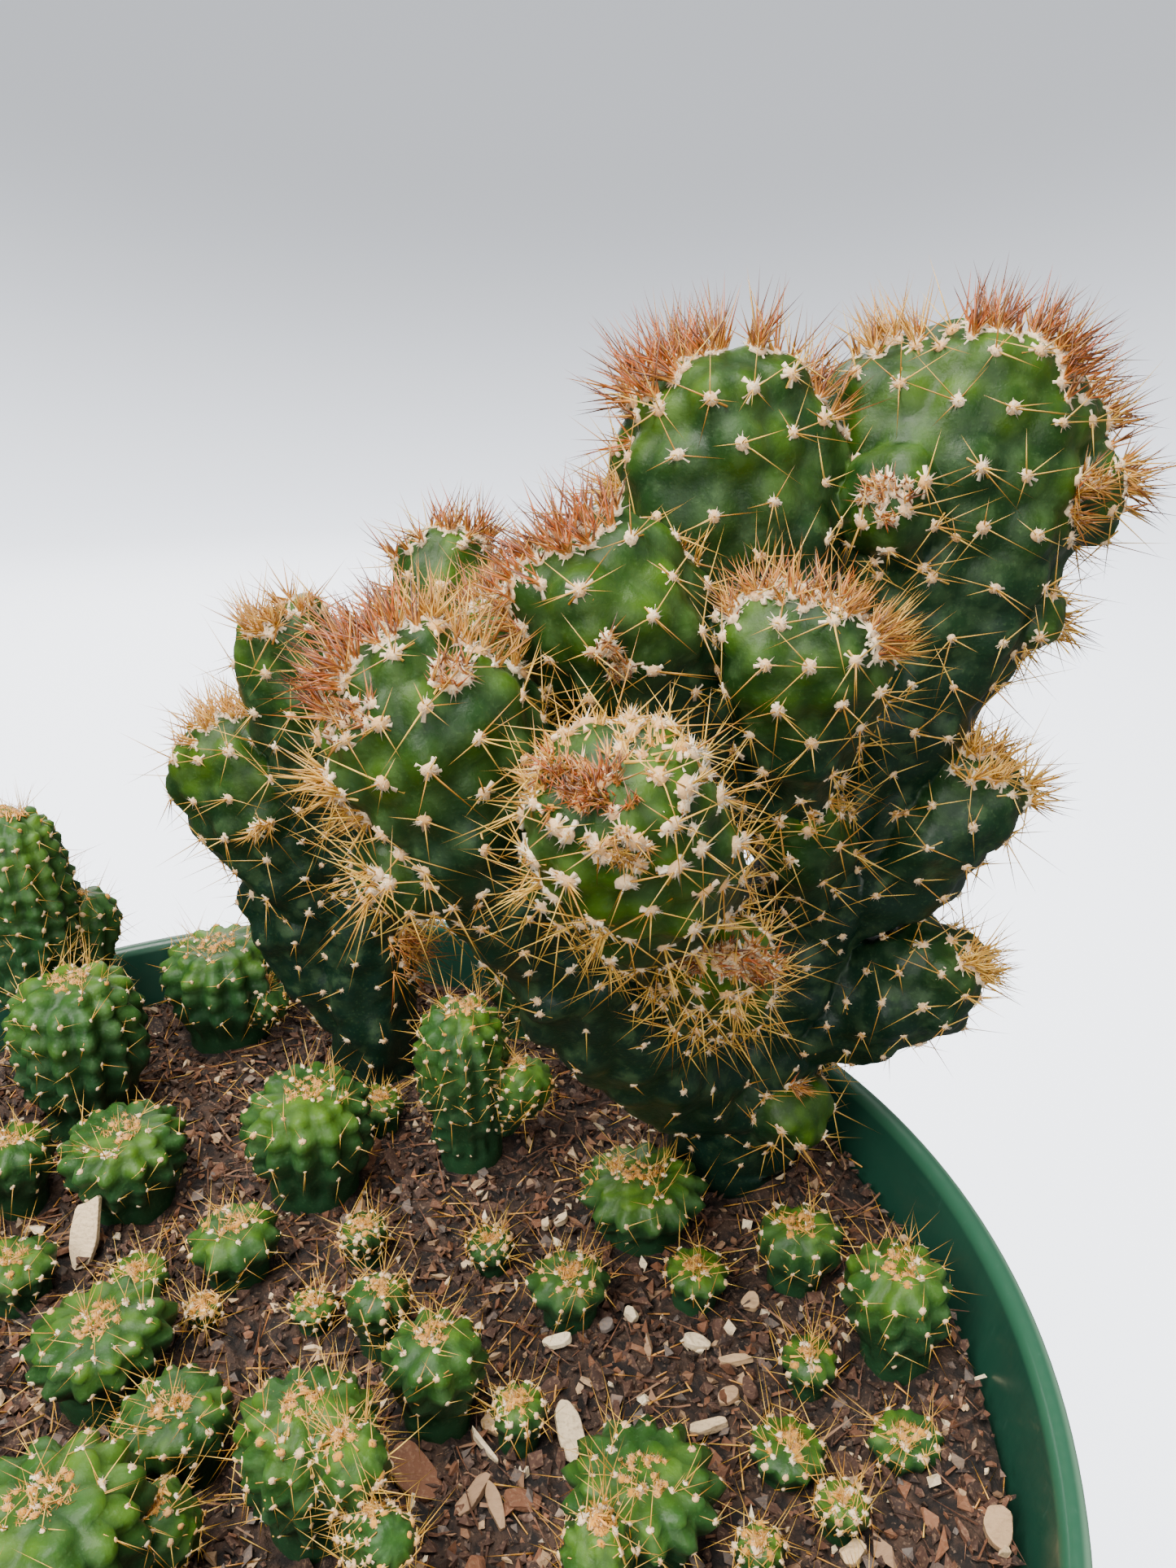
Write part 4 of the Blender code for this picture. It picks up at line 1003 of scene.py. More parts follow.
OFFSETS = (
    # back row
    Offset("offset_left_edge", ((-65, 86, 9.6, 63), (-56, 95.5, 7.0, 39))),
    Offset("offset_left_rear", ((-49.5, 66.5, 12.6, 34),)),
    Offset("offset_rear", ((-29, 97.5, 12.6, 24.5), (-15.5, 93, 5.0, 14))),
    Offset("offset_tall", ((32.4, 54.8, 8.8, 36), (46.6, 52, 5.0, 24)), (-1, -2)),
    Offset("offset_brown", ((12.6, 62.2, 5.2, 8.6),)),
    Offset("offset_middle", ((2.4, 45.2, 11.8, 23),)),
    Offset("offset_left", ((-32.5, 41.8, 11.1, 17),)),
    Offset("offset_far_left", ((-54.4, 41.5, 7.3, 14.5),)),
    # middle rows
    Offset("offset_front_middle", ((-6.6, 23, 7.4, 11),)),
    Offset("offset_left_front", ((-43.3, 17.8, 6.5, 9),)),
    Offset("offset_low_left", ((-21.7, 0.2, 10.6, 13),)),
    Offset("offset_pair_rear", ((21.6, 8.2, 5.2, 11.5),)),
    Offset("offset_pair_front", ((32.6, -6.5, 7.2, 17.5),)),
    Offset("offset_ball", ((-8.8, 10.2, 3.2, 6.4),)),
    Offset("offset_button_a", ((-22.8, 18.8, 5.0, 5.0),)),
    Offset("offset_button_b", ((38.6, 24.5, 4.0, 6.4),)),
    Offset("offset_button_c", ((45.6, -10, 4.4, 8.0),)),
    Offset("offset_button_d", ((53.2, 14, 6.4, 10.0),)),
    Offset("offset_button_e", ((9.6, 11.5, 4.0, 5.2),)),
    Offset("offset_button_f", ((15.7, 26.5, 4.2, 7.7),)),
    Offset("offset_low_b", ((-5.3, -14, 8.2, 11.7),)),
    # right-hand side
    Offset("offset_right", ((66.4, 35, 10.8, 12), (59.6, 38.5, 4.6, 10))),
    Offset("offset_right_edge", ((107.4, 5, 8.0, 19.6),), (-2, 0)),
    Offset("offset_right_brown", ((75, 17.5, 5.4, 7.0),)),
    Offset("offset_right_rear", ((93.2, 21.2, 6.7, 12.7),)),
    Offset("offset_right_mid", ((91.7, 0, 4.4, 6.2),)),
    Offset("offset_right_low", ((86, -15.5, 5.5, 5.8),)),
    Offset("offset_right_low_b", ((104.1, -13.5, 5.6, 5.0),)),
    Offset("offset_front_big", ((63.9, -24.8, 10.3, 12), (56.2, -37, 4.8, 13))),
    Offset("offset_tiny_a", ((79.5, -31.2, 3.5, 7.5),)),
    Offset("offset_tiny_b", ((92.3, -24.5, 3.6, 6.2),)),
    # front rows
    Offset("offset_lobed", ((17.2, -23, 9.2, 23), (26.3, -31, 5.0, 24), (32, -40, 4.0, 20))),
    Offset("offset_corner", ((-13.4, -36, 12.0, 22), (1.3, -28.2, 5.0, 10.3))),
    Offset("offset_front_a", ((-34, -61, 10.0, 27),), (0, 2)),
    Offset("offset_front_b", ((14, -72, 10.5, 28),), (1, 0)),
    Offset("offset_front_c", ((42, -70, 8.0, 20),)),
    Offset("offset_front_d", ((84, -56, 9.0, 25),), (2, 0)),
    Offset("offset_front_e", ((-12, -90, 8.4, 19),)),
    Offset("offset_front_f", ((54, -95, 7.4, 17),)),
    Offset("offset_front_g", ((-52, -84, 9.0, 23),), (-2, -1)),
    # left-hand side, past the picture's edge
    Offset("offset_side_a", ((-76, 44, 9.0, 26),)),
    Offset("offset_side_b", ((-68, 10, 10.6, 30),), (-1, 0)),
    Offset("offset_side_c", ((-94, 12, 7.4, 17),)),
    Offset("offset_side_d", ((-56, -22, 9.2, 24),)),
    Offset("offset_side_e", ((-84, -24, 10.0, 27), (-92, -38, 6.0, 17))),
    Offset("offset_side_f", ((-76, -60, 8.2, 20),)),
    # by the wall behind
    Offset("offset_wall", ((42, 98, 8.6, 24),)),
)


class Age(Enum):
    """The two kinds of plant, each with its own skin, areoles and spines."""
    OLD = "old_cactus_skin"
    YOUNG = "young_cactus_skin"


SKINS = {
    Age.OLD: SkinFinish("old_skin", shade(15, 38, 28), shade(30, 60, 15), shade(74, 106, 14),
                        shade(108, 142, 88), shade(10, 34, 16)),
    Age.YOUNG: SkinFinish("young_skin", shade(32, 64, 38), shade(44, 80, 28),
                          shade(84, 118, 28), shade(118, 156, 104), shade(14, 42, 20)),
}


@dataclass(frozen=True)
class Habit:
    """How a kind of plant grows: sizes in millimetres."""
    face: float  # width of a face of the skin
    columns: float  # columns of areoles for each rib of the solid
    spacing: float  # distance between rows of areoles, over that between columns
    low_areoles: float  # share of the areoles that the foot keeps
    tubercle: float  # rise of a tubercle, as a share of the radius
    relief: float  # most that a tubercle rises
    knob: float  # width of a tubercle, over the distance between two
    ribs: float  # depth of the ribs, as a share of the radius
    swell: float  # unevenness of the whole form
    body: float  # the skin's radius below the tubercles, over the solid's
    areole: tuple[float, float]  # radius of the felt pad
    hairs: tuple[int, int]
    reach: float  # length of a hair of the pad, over its radius
    bristles: tuple[int, int]  # short stiff spines inside the star of wool
    radials: tuple[float, float]
    radial_length: tuple[float, float]
    centrals: tuple[float, float]
    central_length: tuple[float, float]
    spine_radius: float
    stagger: float  # shift of each second row, over the distance between columns
    felt: float  # the pad's radius, over the areole's
    crowd: float  # how much denser a crest is than its count of spines says
    golden: float  # how much warmer the wool is at the crown


HABITS = {
    Age.OLD: Habit(
        face=1.3, columns=1.7, spacing=0.86, low_areoles=0.6, tubercle=0.08, relief=1.2,
        knob=0.5, ribs=0.03, swell=0.9, body=0.95, areole=(0.92, 1.28), hairs=(11, 16),
        reach=2.7, bristles=(6, 10), radials=(1.6, 4.4), radial_length=(5.5, 14.0),
        centrals=(0.6, 2.2), central_length=(8.0, 16.0), spine_radius=0.165, stagger=0.5,
        felt=0.95, crowd=1.5, golden=0.0),
    Age.YOUNG: Habit(
        face=1.15, columns=2.1, spacing=0.8, low_areoles=0.15, tubercle=0.16, relief=1.7,
        knob=0.42, ribs=0.055, swell=0.4, body=0.93, areole=(0.5, 0.84), hairs=(5, 8),
        reach=1.75, bristles=(0, 2), radials=(0.4, 2.4), radial_length=(2.5, 6.5),
        centrals=(0.0, 1.2), central_length=(5.0, 11.0), spine_radius=0.105, stagger=0.12,
        felt=0.85, crowd=1.0, golden=0.6),
}


class Stem:
    """The form of one shoot and the places of its areoles."""

    ROOT_STEPS = 12
    AXIS_STEPS = 241
    CROWN_POWER = 2.6  # a crown is a superellipse of this power
    BARE_CROWD = 0.8  # how close the columns of a head without crests stand
    THINNED = 0.62  # columns are halved where they would stand closer than this
    FULL_GROWN = 0.55  # share of the axis above which no areole is left out
    AROUND = (28, 96)  # fewest and most faces round a shell
    ALONG = (18, 92)  # fewest and most faces along it
    FLUTED = 0.3  # below this stagger the ribs follow the columns
    POLE = 0.985  # above this share the spokes are too short to aim by
    CREASE = 0.42  # width of a crease between tubercles, over their distance
    PATCH = 0.46  # width of the pale patch above an areole, bloom and painted highlight, likewise
    SWELL_SIZE = 13.0  # distance between the swells of the whole form

    def __init__(self, shoot: Shoot, habit: Habit, name: str) -> None:
        """Work out the shoot's bent axis and the length of its skin."""
        self.shoot = shoot
        self.habit = habit
        self.name = name
        self.foot = np.array(shoot.foot, float)
        self.crown = np.array(shoot.crown, float)
        self.middle = (self.foot + self.crown) / 2 + np.array(shoot.bend, float)
        length = np.linalg.norm(self.crown - self.foot)
        start = -1.0 if shoot.root > 0 else 0.0
        self.shares = np.concatenate([np.linspace(start, 0.0, self.ROOT_STEPS)[:-1],
                                      np.linspace(0.0, 1.0, self.AXIS_STEPS)])
        rise = np.diff(self.shares)
        rise *= np.where(self.shares[1:] <= 0.0, shoot.root, length)
        run = np.diff(self.radius(self.shares))
        self.travel = np.concatenate([[0.0], np.cumsum(np.hypot(rise, run))])
        crowd = habit.columns * (1.0 if shoot.crests else self.BARE_CROWD)
        self.columns = max(4, round(crowd * shoot.ribs))
        self.pitch = TURN * shoot.head_radius / self.columns
        self.areole_shares, turns = self.lay_areoles()
        self.areoles = self.place(self.areole_shares, turns)

    def axis(self, share: Array) -> Array:
        """Points on the bent axis. A share below 0 lies in the root."""
        held = np.clip(share, 0.0, 1.0)[:, None]
        low = self.foot + (self.middle - self.foot) * held
        high = self.middle + (self.crown - self.middle) * held
        points = low + (high - low) * held
        points[:, 2] += np.minimum(share, 0.0) * self.shoot.root
        return points

    def centre(self, share: float) -> Array:
        """The point of the axis at one share."""
        return self.axis(np.array([share]))[0]

    def radius(self, share: Array) -> Array:
        """The plain radius at each share of the axis, as on the solid."""
        shoot = self.shoot
        swollen = smooth(share / shoot.swell)
        radius = shoot.foot_radius + (shoot.head_radius - shoot.foot_radius) * swollen
        over = np.clip((share - shoot.shoulder) / (1.0 - shoot.shoulder), 0.0, 1.0)
        power = self.CROWN_POWER
        return radius * np.maximum(1.0 - over ** power, 0.0) ** (1.0 / power)

    def spokes(self, share: Array, turn: Array) -> Array:
        """Vectors from the axis to the plain skin, without tubercles."""
        held = np.clip(share, 0.0, 1.0)[:, None]
        along = unit((self.middle - self.foot) * (1 - held) + (self.crown - self.middle) * held)
        if self.shoot.root > 0:
            along[share <= 0.0] = (0.0, 0.0, 1.0)
        heading = math.radians(self.shoot.turn)
        wide = np.array([math.cos(heading), math.sin(heading), 0.0])
        wide = unit(wide - along * (along @ wide)[:, None])
        across = np.cross(along, wide)
        thin = 1.0 + (self.shoot.flat - 1.0) * smooth(share / self.shoot.swell)
        radius = self.radius(share)
        return (wide * (np.cos(turn) * radius)[:, None]
                + across * (np.sin(turn) * radius * thin)[:, None])

    def place(self, share: Array, turn: Array) -> Array:
        """Points of the plain skin."""
        return self.axis(share) + self.spokes(share, turn) * self.habit.body

    def lay_areoles(self) -> tuple[Array, Array]:
        """Set the areoles in rows, each shifted by half a step from the last.

        Returns:
            The share of the axis and the turn of each areole.
        """
        rng = draws(self.name + "_areoles")
        shares = []
        turns = []
        step = self.pitch * self.habit.spacing
        begin = np.interp(0.0, self.shares, self.travel) + step * 0.6
        heights = np.arange(begin, self.travel[-1] - step * 0.2, step)
        for row, height in enumerate(heights):
            share = float(np.interp(height, self.travel, self.shares))
            girth = TURN * float(self.radius(np.array([share]))[0])
            count = self.columns
            while count > 3 and girth / count < self.THINNED * self.pitch:
                count //= 2
            kept = self.habit.low_areoles
            kept += (1.0 - kept) * float(smooth(share / self.FULL_GROWN))
            radius = max(girth / ROUGH_TURN, 2.0)
            for column in range(count):
                turn = TURN * (column + self.habit.stagger * (row % 2)) / count
                if rng.uniform() > kept:
                    continue
                shares.append(share + rng.normal() * 0.05 * step / self.travel[-1])
                turns.append(turn + rng.normal() * 0.07 * self.pitch / radius)
        return np.array(shares), np.array(turns)

    def shell(self, name: str) -> tuple[Thing, Array]:
        """Wrap a fine skin round the stem and raise its tubercles.

        Args:
            name: The new object's name.

        Returns:
            The closed skin, and the place and tint of each vertex that it was made from.
        """
        shoot = self.shoot
        habit = self.habit
        around = int(np.clip(TURN * shoot.head_radius / habit.face, *self.AROUND))
        rows = int(np.clip(self.travel[-1] / habit.face, *self.ALONG))
        skin, turn, rise = Bench.sheet(name, around, rows)
        share = np.interp(rise * self.travel[-1], self.travel, self.shares)
        plain = self.place(share, turn)
        upward = smooth((share - shoot.shoulder) / 0.4)[:, None]
        outward = unit(self.spokes(np.minimum(share, self.POLE), turn)
                       + (self.crown - self.middle) * upward * 0.35)
        gap = np.linalg.norm(plain[:, None, :] - self.areoles[None], axis=2)
        order = np.sort(gap, axis=1)[:, :2]
        near = order[:, 0] / self.pitch
        # 1 away from the creases between tubercles and 0 in them: it sinks the creases, and
        # through the third tint the skin paints them in shade
        crease_and_painted_shade = smooth((order[:, 1] - order[:, 0]) / (self.CREASE * self.pitch))
        knob = np.exp(-(near / habit.knob) ** 2) * (0.7 + 0.6 * smooth((share - 0.3) / 0.5))
        height = min(habit.tubercle * shoot.head_radius, habit.relief)
        above = smooth((share + 0.02) / 0.08)
        fluted = self.columns if habit.stagger < self.FLUTED else shoot.ribs
        ribs = np.cos(turn * fluted) * habit.ribs * shoot.head_radius
        ribs *= smooth((1.0 - share) / 0.3)
        lift = (knob + crease_and_painted_shade * 0.3 - 0.4) * height * above * smooth((1.02 - share) / 0.06)
        lift += (ripples(plain, self.SWELL_SIZE, self.name) * habit.swell + ribs) * above
        lift *= np.where(rise > 0.9999, 0.0, 1.0)
        Bench.set_points(skin, (plain + outward * lift[:, None]) * MM)
        # the pale patch is centred a little above each areole: bloom, and painted highlight
        lifted = self.areoles + unit(self.crown - self.axis(self.areole_shares)) * self.pitch * 0.4
        patch = np.min(np.linalg.norm(plain[:, None, :] - lifted[None], axis=2), axis=1)
        # first tint: how high on the stem, read by the skin as deep green low down (older skin and
        # painted shade) and fresh green higher up
        tints = rows_of(np.clip(share, 0.0, 1.0) ** 1.8 * (1.0 - shoot.age),
                        np.exp(-(patch / (self.PATCH * self.pitch)) ** 2),
                        (1.0 - crease_and_painted_shade) * above)
        kept = np.concatenate([Bench.points(skin) / MM, tints], axis=1)
        Bench.close(skin)
        return skin, kept


class Surface:
    """A finished skin that things grow on."""

    CLEAR = 1.4  # how far from its root a spine may still touch the skin
    SINK = 0.5  # how far a spine's root lies in the skin, and its tip off it

    def __init__(self, piece: Thing) -> None:
        """Read the skin's faces into a search tree, in millimetres."""
        self.points = Bench.points(piece) / MM
        self.faces = [tuple(face.vertices) for face in piece.data.polygons]
        self.tree = BVHTree.FromPolygons([Vector(point) for point in self.points], self.faces)

    def seat(self, place: Array, reach: float) -> tuple[Vector, Vector] | None:
        """The nearest point of the skin and its normal, or None if it lies beyond reach."""
        spot, normal, _, _ = self.tree.find_nearest(Vector(place), reach)
        return None if spot is None else (spot, normal)

    def free_length(self, root: Vector, along: Vector, length: float) -> float:
        """How far a spine can grow before it meets the skin again."""
        hit = self.tree.ray_cast(root + along * self.CLEAR, along, length)
        return length if hit[0] is None else self.CLEAR + hit[3] - self.SINK


class Plant:
    """One plant of the colony: its skin, wool and spines."""

    SHORTEST = 1.6  # a spine with less room than this is left out
    HAIR_LEAN = (34, 88)  # least and most lean off an areole's normal, in degrees
    BRISTLE_LEAN = (10, 66)
    RADIAL_LEAN = (46, 84)
    CENTRAL_LEAN = (8, 62)
    HAIR_WIDTH = 0.33  # over the areole's radius
    CREST_HAIRS = 9
    GOLDEN_WOOL = 0.6  # wool tawnier than this has tawny hairs too
    AREOLE_REACH = 2.6  # how far the skin may lie from where an areole was laid out
    CREST_REACH = 2.2
    FACING = 0.1  # an areole on skin that faces another way was buried
    LOWEST = 1.0  # height of the lowest areoles above the soil

    def __init__(self, node: str, shoots: Sequence[Shoot], age: Age, stamps: Stamps) -> None:
        """Keep what the plant is made from."""
        self.node = node
        self.age = age
        self.habit = HABITS[age]
        self.stamps = stamps
        self.rng = draws(node)
        self.stems = [
            Stem(shoot, self.habit, f"{node}_{index}") for index, shoot in enumerate(shoots)]
        self.spines = Scatter()
        self.wool = Scatter()
        self.skin: Thing | None = None

    def build(self) -> None:
        """Grow the skin, then all that stands on it."""
        shells = []
        kept = []
        forms = []
        for index, stem in enumerate(self.stems):
            shell, rows = stem.shell(f"{self.node}_{index}")
            shells.append(shell)
            kept.append(rows)
            forms.append(Surface(shell) if stem.shoot.crests else None)
        self.skin = Bench.union(self.node + "_skin", shells)
        self.tint_skin(np.concatenate(kept))
        surface = Surface(self.skin)
        for stem, form in zip(self.stems, forms):
            self.grow_areoles(stem, surface)
            for crest in stem.shoot.crests:
                self.grow_crest(stem, crest, form, surface)

    def tint_skin(self, kept: Array) -> None:
        """Carry the shells' tints over to the joined skin, by the nearest old vertex."""
        tree = kdtree.KDTree(len(kept))
        for index, row in enumerate(kept):
            tree.insert(Vector(row[:3]), index)
        tree.balance()
        found = [tree.find(Vector(point))[1] for point in Bench.points(self.skin) / MM]
        Bench.tint(self.skin, kept[found, 3:])

    def spread(self, normal: Vector, low: float, high: float, around: float) -> Vector:
        """A direction that leans off a normal by a random angle.

        Args:
            normal: The direction that it leans off.
            low: The least lean in degrees.
            high: The most.
            around: Which way it leans, in radians about the normal.

        Returns:
            The direction, of length one.
        """
        side = normal.orthogonal().normalized()
        other = normal.cross(side)
        tilt = math.radians(self.rng.uniform(low, high))
        lean = side * math.cos(around) + other * math.sin(around)
        return normal * math.cos(tilt) + lean * math.sin(tilt)

    def add_spines(self, surface: Surface, wanted: list[tuple], fine: bool = False,
                   stout: float = 1.0) -> None:
        """Grow spines as far as they have room.

        Args:
            surface: The skin that they stand on.
            wanted: The root, direction, length and rust of each.
            fine: Whether they are the thinnest needles.
            stout: Their thickness, over the plant's other spines.
        """
        places, ups, sizes, tints = [], [], [], []
        for root, along, length, rust in wanted:
            free = surface.free_length(root, along, length)
            if free < self.SHORTEST:
                continue
            radius = self.habit.spine_radius * self.rng.uniform(0.8, 1.25) * stout
            places.append(root - along * surface.SINK)
            ups.append(along)
            sizes.append((radius, radius, free + surface.SINK))
            warmth = rust + self.rng.normal() * 0.2 * min(rust * 3, 1.0)
            tints.append((0.0, self.rng.uniform(), np.clip(warmth, 0, 1)))
        if places:
            stamp = self.stamps.hair if fine else self.stamps.spine
            self.spines.add(stamp, np.array(places), np.array(ups), np.array(sizes),
                            np.array(tints), self.rng, bend=0.0 if fine else 0.05, along=True)

    def add_wool(self, centre: Vector, normal: Vector, radius: float, hairs: int,
                 warm: float, longer: float = 1.0) -> None:
        """Set one areole's felt: a small tawny pad and a star of pale hairs.

        Args:
            centre: The areole's place on the skin.
            normal: The skin's normal there.
            radius: The areole's radius.
            hairs: How many hairs the star has.
            warm: How tawny the wool is, from 0 to 1.
            longer: The hairs' length, over the plant's other hairs.
        """
        rng = self.rng
        felt = radius * self.habit.felt
        self.wool.add(self.stamps.pad, np.array([centre]), np.array([normal]),
                      np.array([(felt * rng.uniform(0.8, 1.2), felt, felt * 0.55)]),
                      np.array([(rng.uniform(), 0.0, warm)]), rng)
        ups = [self.spread(normal, *self.HAIR_LEAN, rng.uniform(0, TURN)) for _ in range(hairs)]
        length = rng.uniform(0.55, 1.3, hairs) * radius * self.habit.reach * longer
        width = self.HAIR_WIDTH * radius
        varied = rng.uniform(0, 0.9, hairs) ** 1.4
        tawny = rng.uniform(0, 0.35, hairs) * warm + max(warm - self.GOLDEN_WOOL, 0.0) * 1.6
        self.wool.add(self.stamps.hair, np.repeat([tuple(centre)], hairs, axis=0), np.array(ups),
                      rows_of(width, width, length), rows_of(varied, 0.0, tawny), rng)

    def grow_areoles(self, stem: Stem, surface: Surface) -> None:
        """Give each areole that isn't buried in another stem its wool and its spines."""
        habit = self.habit
        rng = self.rng
        wanted = []
        short = []
        for place, share in zip(stem.areoles, stem.areole_shares):
            outward = unit((place - stem.centre(share))[None])[0]
            seat = surface.seat(place + outward * 0.8, self.AREOLE_REACH)
            if seat is None:
                continue
            root, normal = seat
            if normal.dot(Vector(outward)) < self.FACING or root.z < SOIL_LEVEL + self.LOWEST:
                continue
            fresh = float(np.clip(share, 0, 1)) * (1.0 - stem.shoot.age)
            vigour = 0.22 + 0.78 * float(smooth(fresh / 0.6))
            long = 0.5 + 0.5 * vigour
            radius = rng.uniform(*habit.areole) * (0.62 + 0.5 * fresh)
            for _ in range(round(rng.uniform(*habit.bristles) * vigour)):
                along = self.spread(normal, *self.BRISTLE_LEAN, rng.uniform(0, ROUGH_TURN))
                short.append((root, along, rng.uniform(1.7, 3.4), 0.3 + 0.5 * rng.uniform()))
            crown = habit.golden * float(smooth((share - 0.9) / 0.08))
            self.add_wool(root, normal, radius, int(rng.integers(*habit.hairs)),
                          min(0.35 + 0.4 * rng.uniform() + crown, 1.0))
            radials = round(rng.uniform(*habit.radials) * vigour)
            first = rng.uniform(0, TURN)
            for index in range(radials):
                around = first + TURN * index / max(radials, 1) + rng.normal() * 0.3
                along = self.spread(normal, *self.RADIAL_LEAN, around)
                wanted.append((root, along, rng.uniform(*habit.radial_length) * long, 0.04))
            for _ in range(round(rng.uniform(*habit.centrals) * vigour)):
                along = self.spread(normal, *self.CENTRAL_LEAN, rng.uniform(0, ROUGH_TURN))
                wanted.append((root, along, rng.uniform(*habit.central_length) * long, 0.1))
        self.add_spines(surface, wanted)
        self.add_spines(surface, short, fine=True)

    def grow_crest(self, stem: Stem, crest: Crest, form: Surface, surface: Surface) -> None:
        """Crowd a strip of a head with spines and wool.

        Args:
            stem: The head.
            crest: The strip and what grows on it.
            form: The head's own skin, on which the strip is traced from the head's heart.
            surface: The plant's joined skin.
        """
        rng = self.rng
        heart = Vector(stem.centre(max(stem.shoot.shoulder - 0.05, 0.2)))
        path = unit(np.array(crest.path, float))
        legs = len(path) - 1
        wanted = []
        low, high = crest.length[0] * 0.75, crest.length[1]
        for _ in range(round(self.habit.crowd * crest.spines / crest.bundle)):
            towards = path[0]
            if legs:
                spot = rng.uniform(0, legs)
                leg = min(int(spot), legs - 1)
                towards = path[leg] + (path[leg + 1] - path[leg]) * (spot - leg)
            hit = form.tree.ray_cast(heart, Vector(towards).normalized())
            if hit[0] is None:
                continue
            reach = 0.5 * crest.width * math.sqrt(rng.uniform())
            around = rng.uniform(0, TURN)
            side = hit[1].orthogonal().normalized()
            other = hit[1].cross(side)
            near = hit[0] + (side * math.cos(around) + other * math.sin(around)) * reach
            seat = surface.seat(np.array(near), self.CREST_REACH)
            if seat is None:
                continue
            root, normal = seat
            outward = (normal + (root - heart).normalized() * 0.8).normalized()
            middle = self.spread(outward, 0, crest.fan * 0.5, rng.uniform(0, ROUGH_TURN))
            for _ in range(crest.bundle):
                wanted.append((root + (side * rng.normal() + other * rng.normal()) * 0.3,
                               self.spread(middle, 3, crest.fan, rng.uniform(0, ROUGH_TURN)),
                               low + (high - low) * rng.uniform() ** (1.0 + crest.rust),
                               crest.rust))
            if rng.uniform() < crest.wool:
                self.add_wool(root, normal, rng.uniform(*self.habit.areole) * 1.05,
                              self.CREST_HAIRS, rng.uniform(*crest.warm), 1.2)
        self.add_spines(surface, wanted, crest.fine, crest.stout)

    def dress(self, skin: Material, spines: Material, wool: Material, together: bool) -> int:
        """Finish the pieces and set them in place of the plant's solid.

        Args:
            skin: The skin's material.
            spines: The spines' material.
            wool: The wool's material.
            together: Whether skin, spines and wool become one piece.

        Returns:
            How many triangles the plant has.
        """
        spine_piece = self.spines.model(self.node + "_spines")
        wool_piece = self.wool.model(self.node + "_wool")
        pieces = ((self.skin, skin), (spine_piece, spines), (wool_piece, wool))
        total = sum(Bench.triangles(piece) for piece, _ in pieces)
        if together:
            for piece, material in pieces:
                Bench.coat(piece, material)
            bpy.ops.object.select_all(action="DESELECT")
            for piece, _ in pieces:
                piece.select_set(True)
            bpy.context.view_layer.objects.active = self.skin
            bpy.ops.object.join()
            self.skin.name = self.node + "_plant"
            Bench.hold(self.skin)
            bpy.ops.object.shade_smooth()
            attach(self.skin, BODY)
        else:
            Bench.finish(spine_piece, spines)
            Bench.finish(wool_piece, wool)
            Bench.finish(self.skin, skin, self.age.value)
        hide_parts(self.node)
        LOG.info("%s: %d triangles", self.node, total)
        return total


@dataclass
class NurseryPot:
    """A ten inch nursery pot: a tapered wall with a banded, rolled lip and drainage holes."""
    sides: int = 192
    rim_radius: float = 127.0
    height: float = 190.0
    base_radius: float = 92.0
    wall: float = 2.6
    floor: float = 3.2
    lip_width: float = 4.2
    lip_drop: float = 15.0
    band_step: float = 2.2
    round_steps: int = 6
    drain_holes: int = 8
    drain_radius: float = 5.5
    drain_circle: float = 68.0
    wall_inside: float = 12.0  # how far below the top the inner wall's straight part begins
    inside_top: float = 2.2  # how far below the top the opening is measured

    def inner_radius(self, height: float) -> float:
        """The inner radius at a height."""
        low = self.base_radius - self.wall
        high = self.rim_radius - self.lip_width
        span = self.height - self.inside_top - self.floor
        return low + (high - low) * (height - self.floor) / span

    def profile(self) -> list[tuple[float, float]]:
        """The turned section, from the axis under the floor round to the axis above it."""
        band = self.height - self.lip_drop
        wall_top = self.base_radius + (self.rim_radius - self.band_step - self.base_radius) * (
            band / self.height)
        middle = self.rim_radius - self.lip_width / 2
        half = self.lip_width / 2
        section = [(0.0, 0.0), (self.base_radius - 3.0, 0.0), (self.base_radius - 1.0, 0.9),
                   (self.base_radius, 3.0), (wall_top, band), (wall_top + 0.5, band + 0.1),
                   (self.rim_radius - 0.5, band + 1.2), (self.rim_radius, band + 1.8)]
        for step in range(self.round_steps + 1):
            turn = math.pi * step / self.round_steps
            section.append((middle + half * math.cos(turn),
                            self.height - half + half * math.sin(turn)))
        wall = self.height - self.wall_inside
        section += [(self.inner_radius(wall), wall),
                    (self.inner_radius(self.floor), self.floor), (0.0, self.floor)]
        return section

    def build(self) -> Thing:
        """Turn the section and drill the drainage holes."""
        section = np.array(self.profile())
        pot, turn, rise = Bench.sheet("nursery_pot", self.sides, len(section) - 1)
        steps = rise * (len(section) - 1)
        radius, height = (np.interp(steps, np.arange(len(section)), column)
                          for column in section.T)
        Bench.set_points(pot, polar(radius, turn, height) * MM)
        Bench.close(pot)
        drills = []
        for index in range(self.drain_holes):
            angle = TURN * (index + 0.5) / self.drain_holes
            drills.append(Bench.primitive(
                bpy.ops.mesh.primitive_cylinder_add, f"drill_{index}", vertices=32,
                radius=self.drain_radius * MM, depth=0.02,
                location=(self.drain_circle * MM * math.cos(angle),
                          self.drain_circle * MM * math.sin(angle), 0.0)))
        Bench.combine(pot, drills, "DIFFERENCE")
        return pot

    def dress(self, pot: Thing) -> None:
        """Give the pot its plastic and set it in place of its solid."""
        Bench.finish(pot, PlasticFinish().material(), "green_plastic")
        Bench.hold(pot)
        bpy.ops.object.shade_smooth_by_angle(angle=math.radians(35))
        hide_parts("pot")


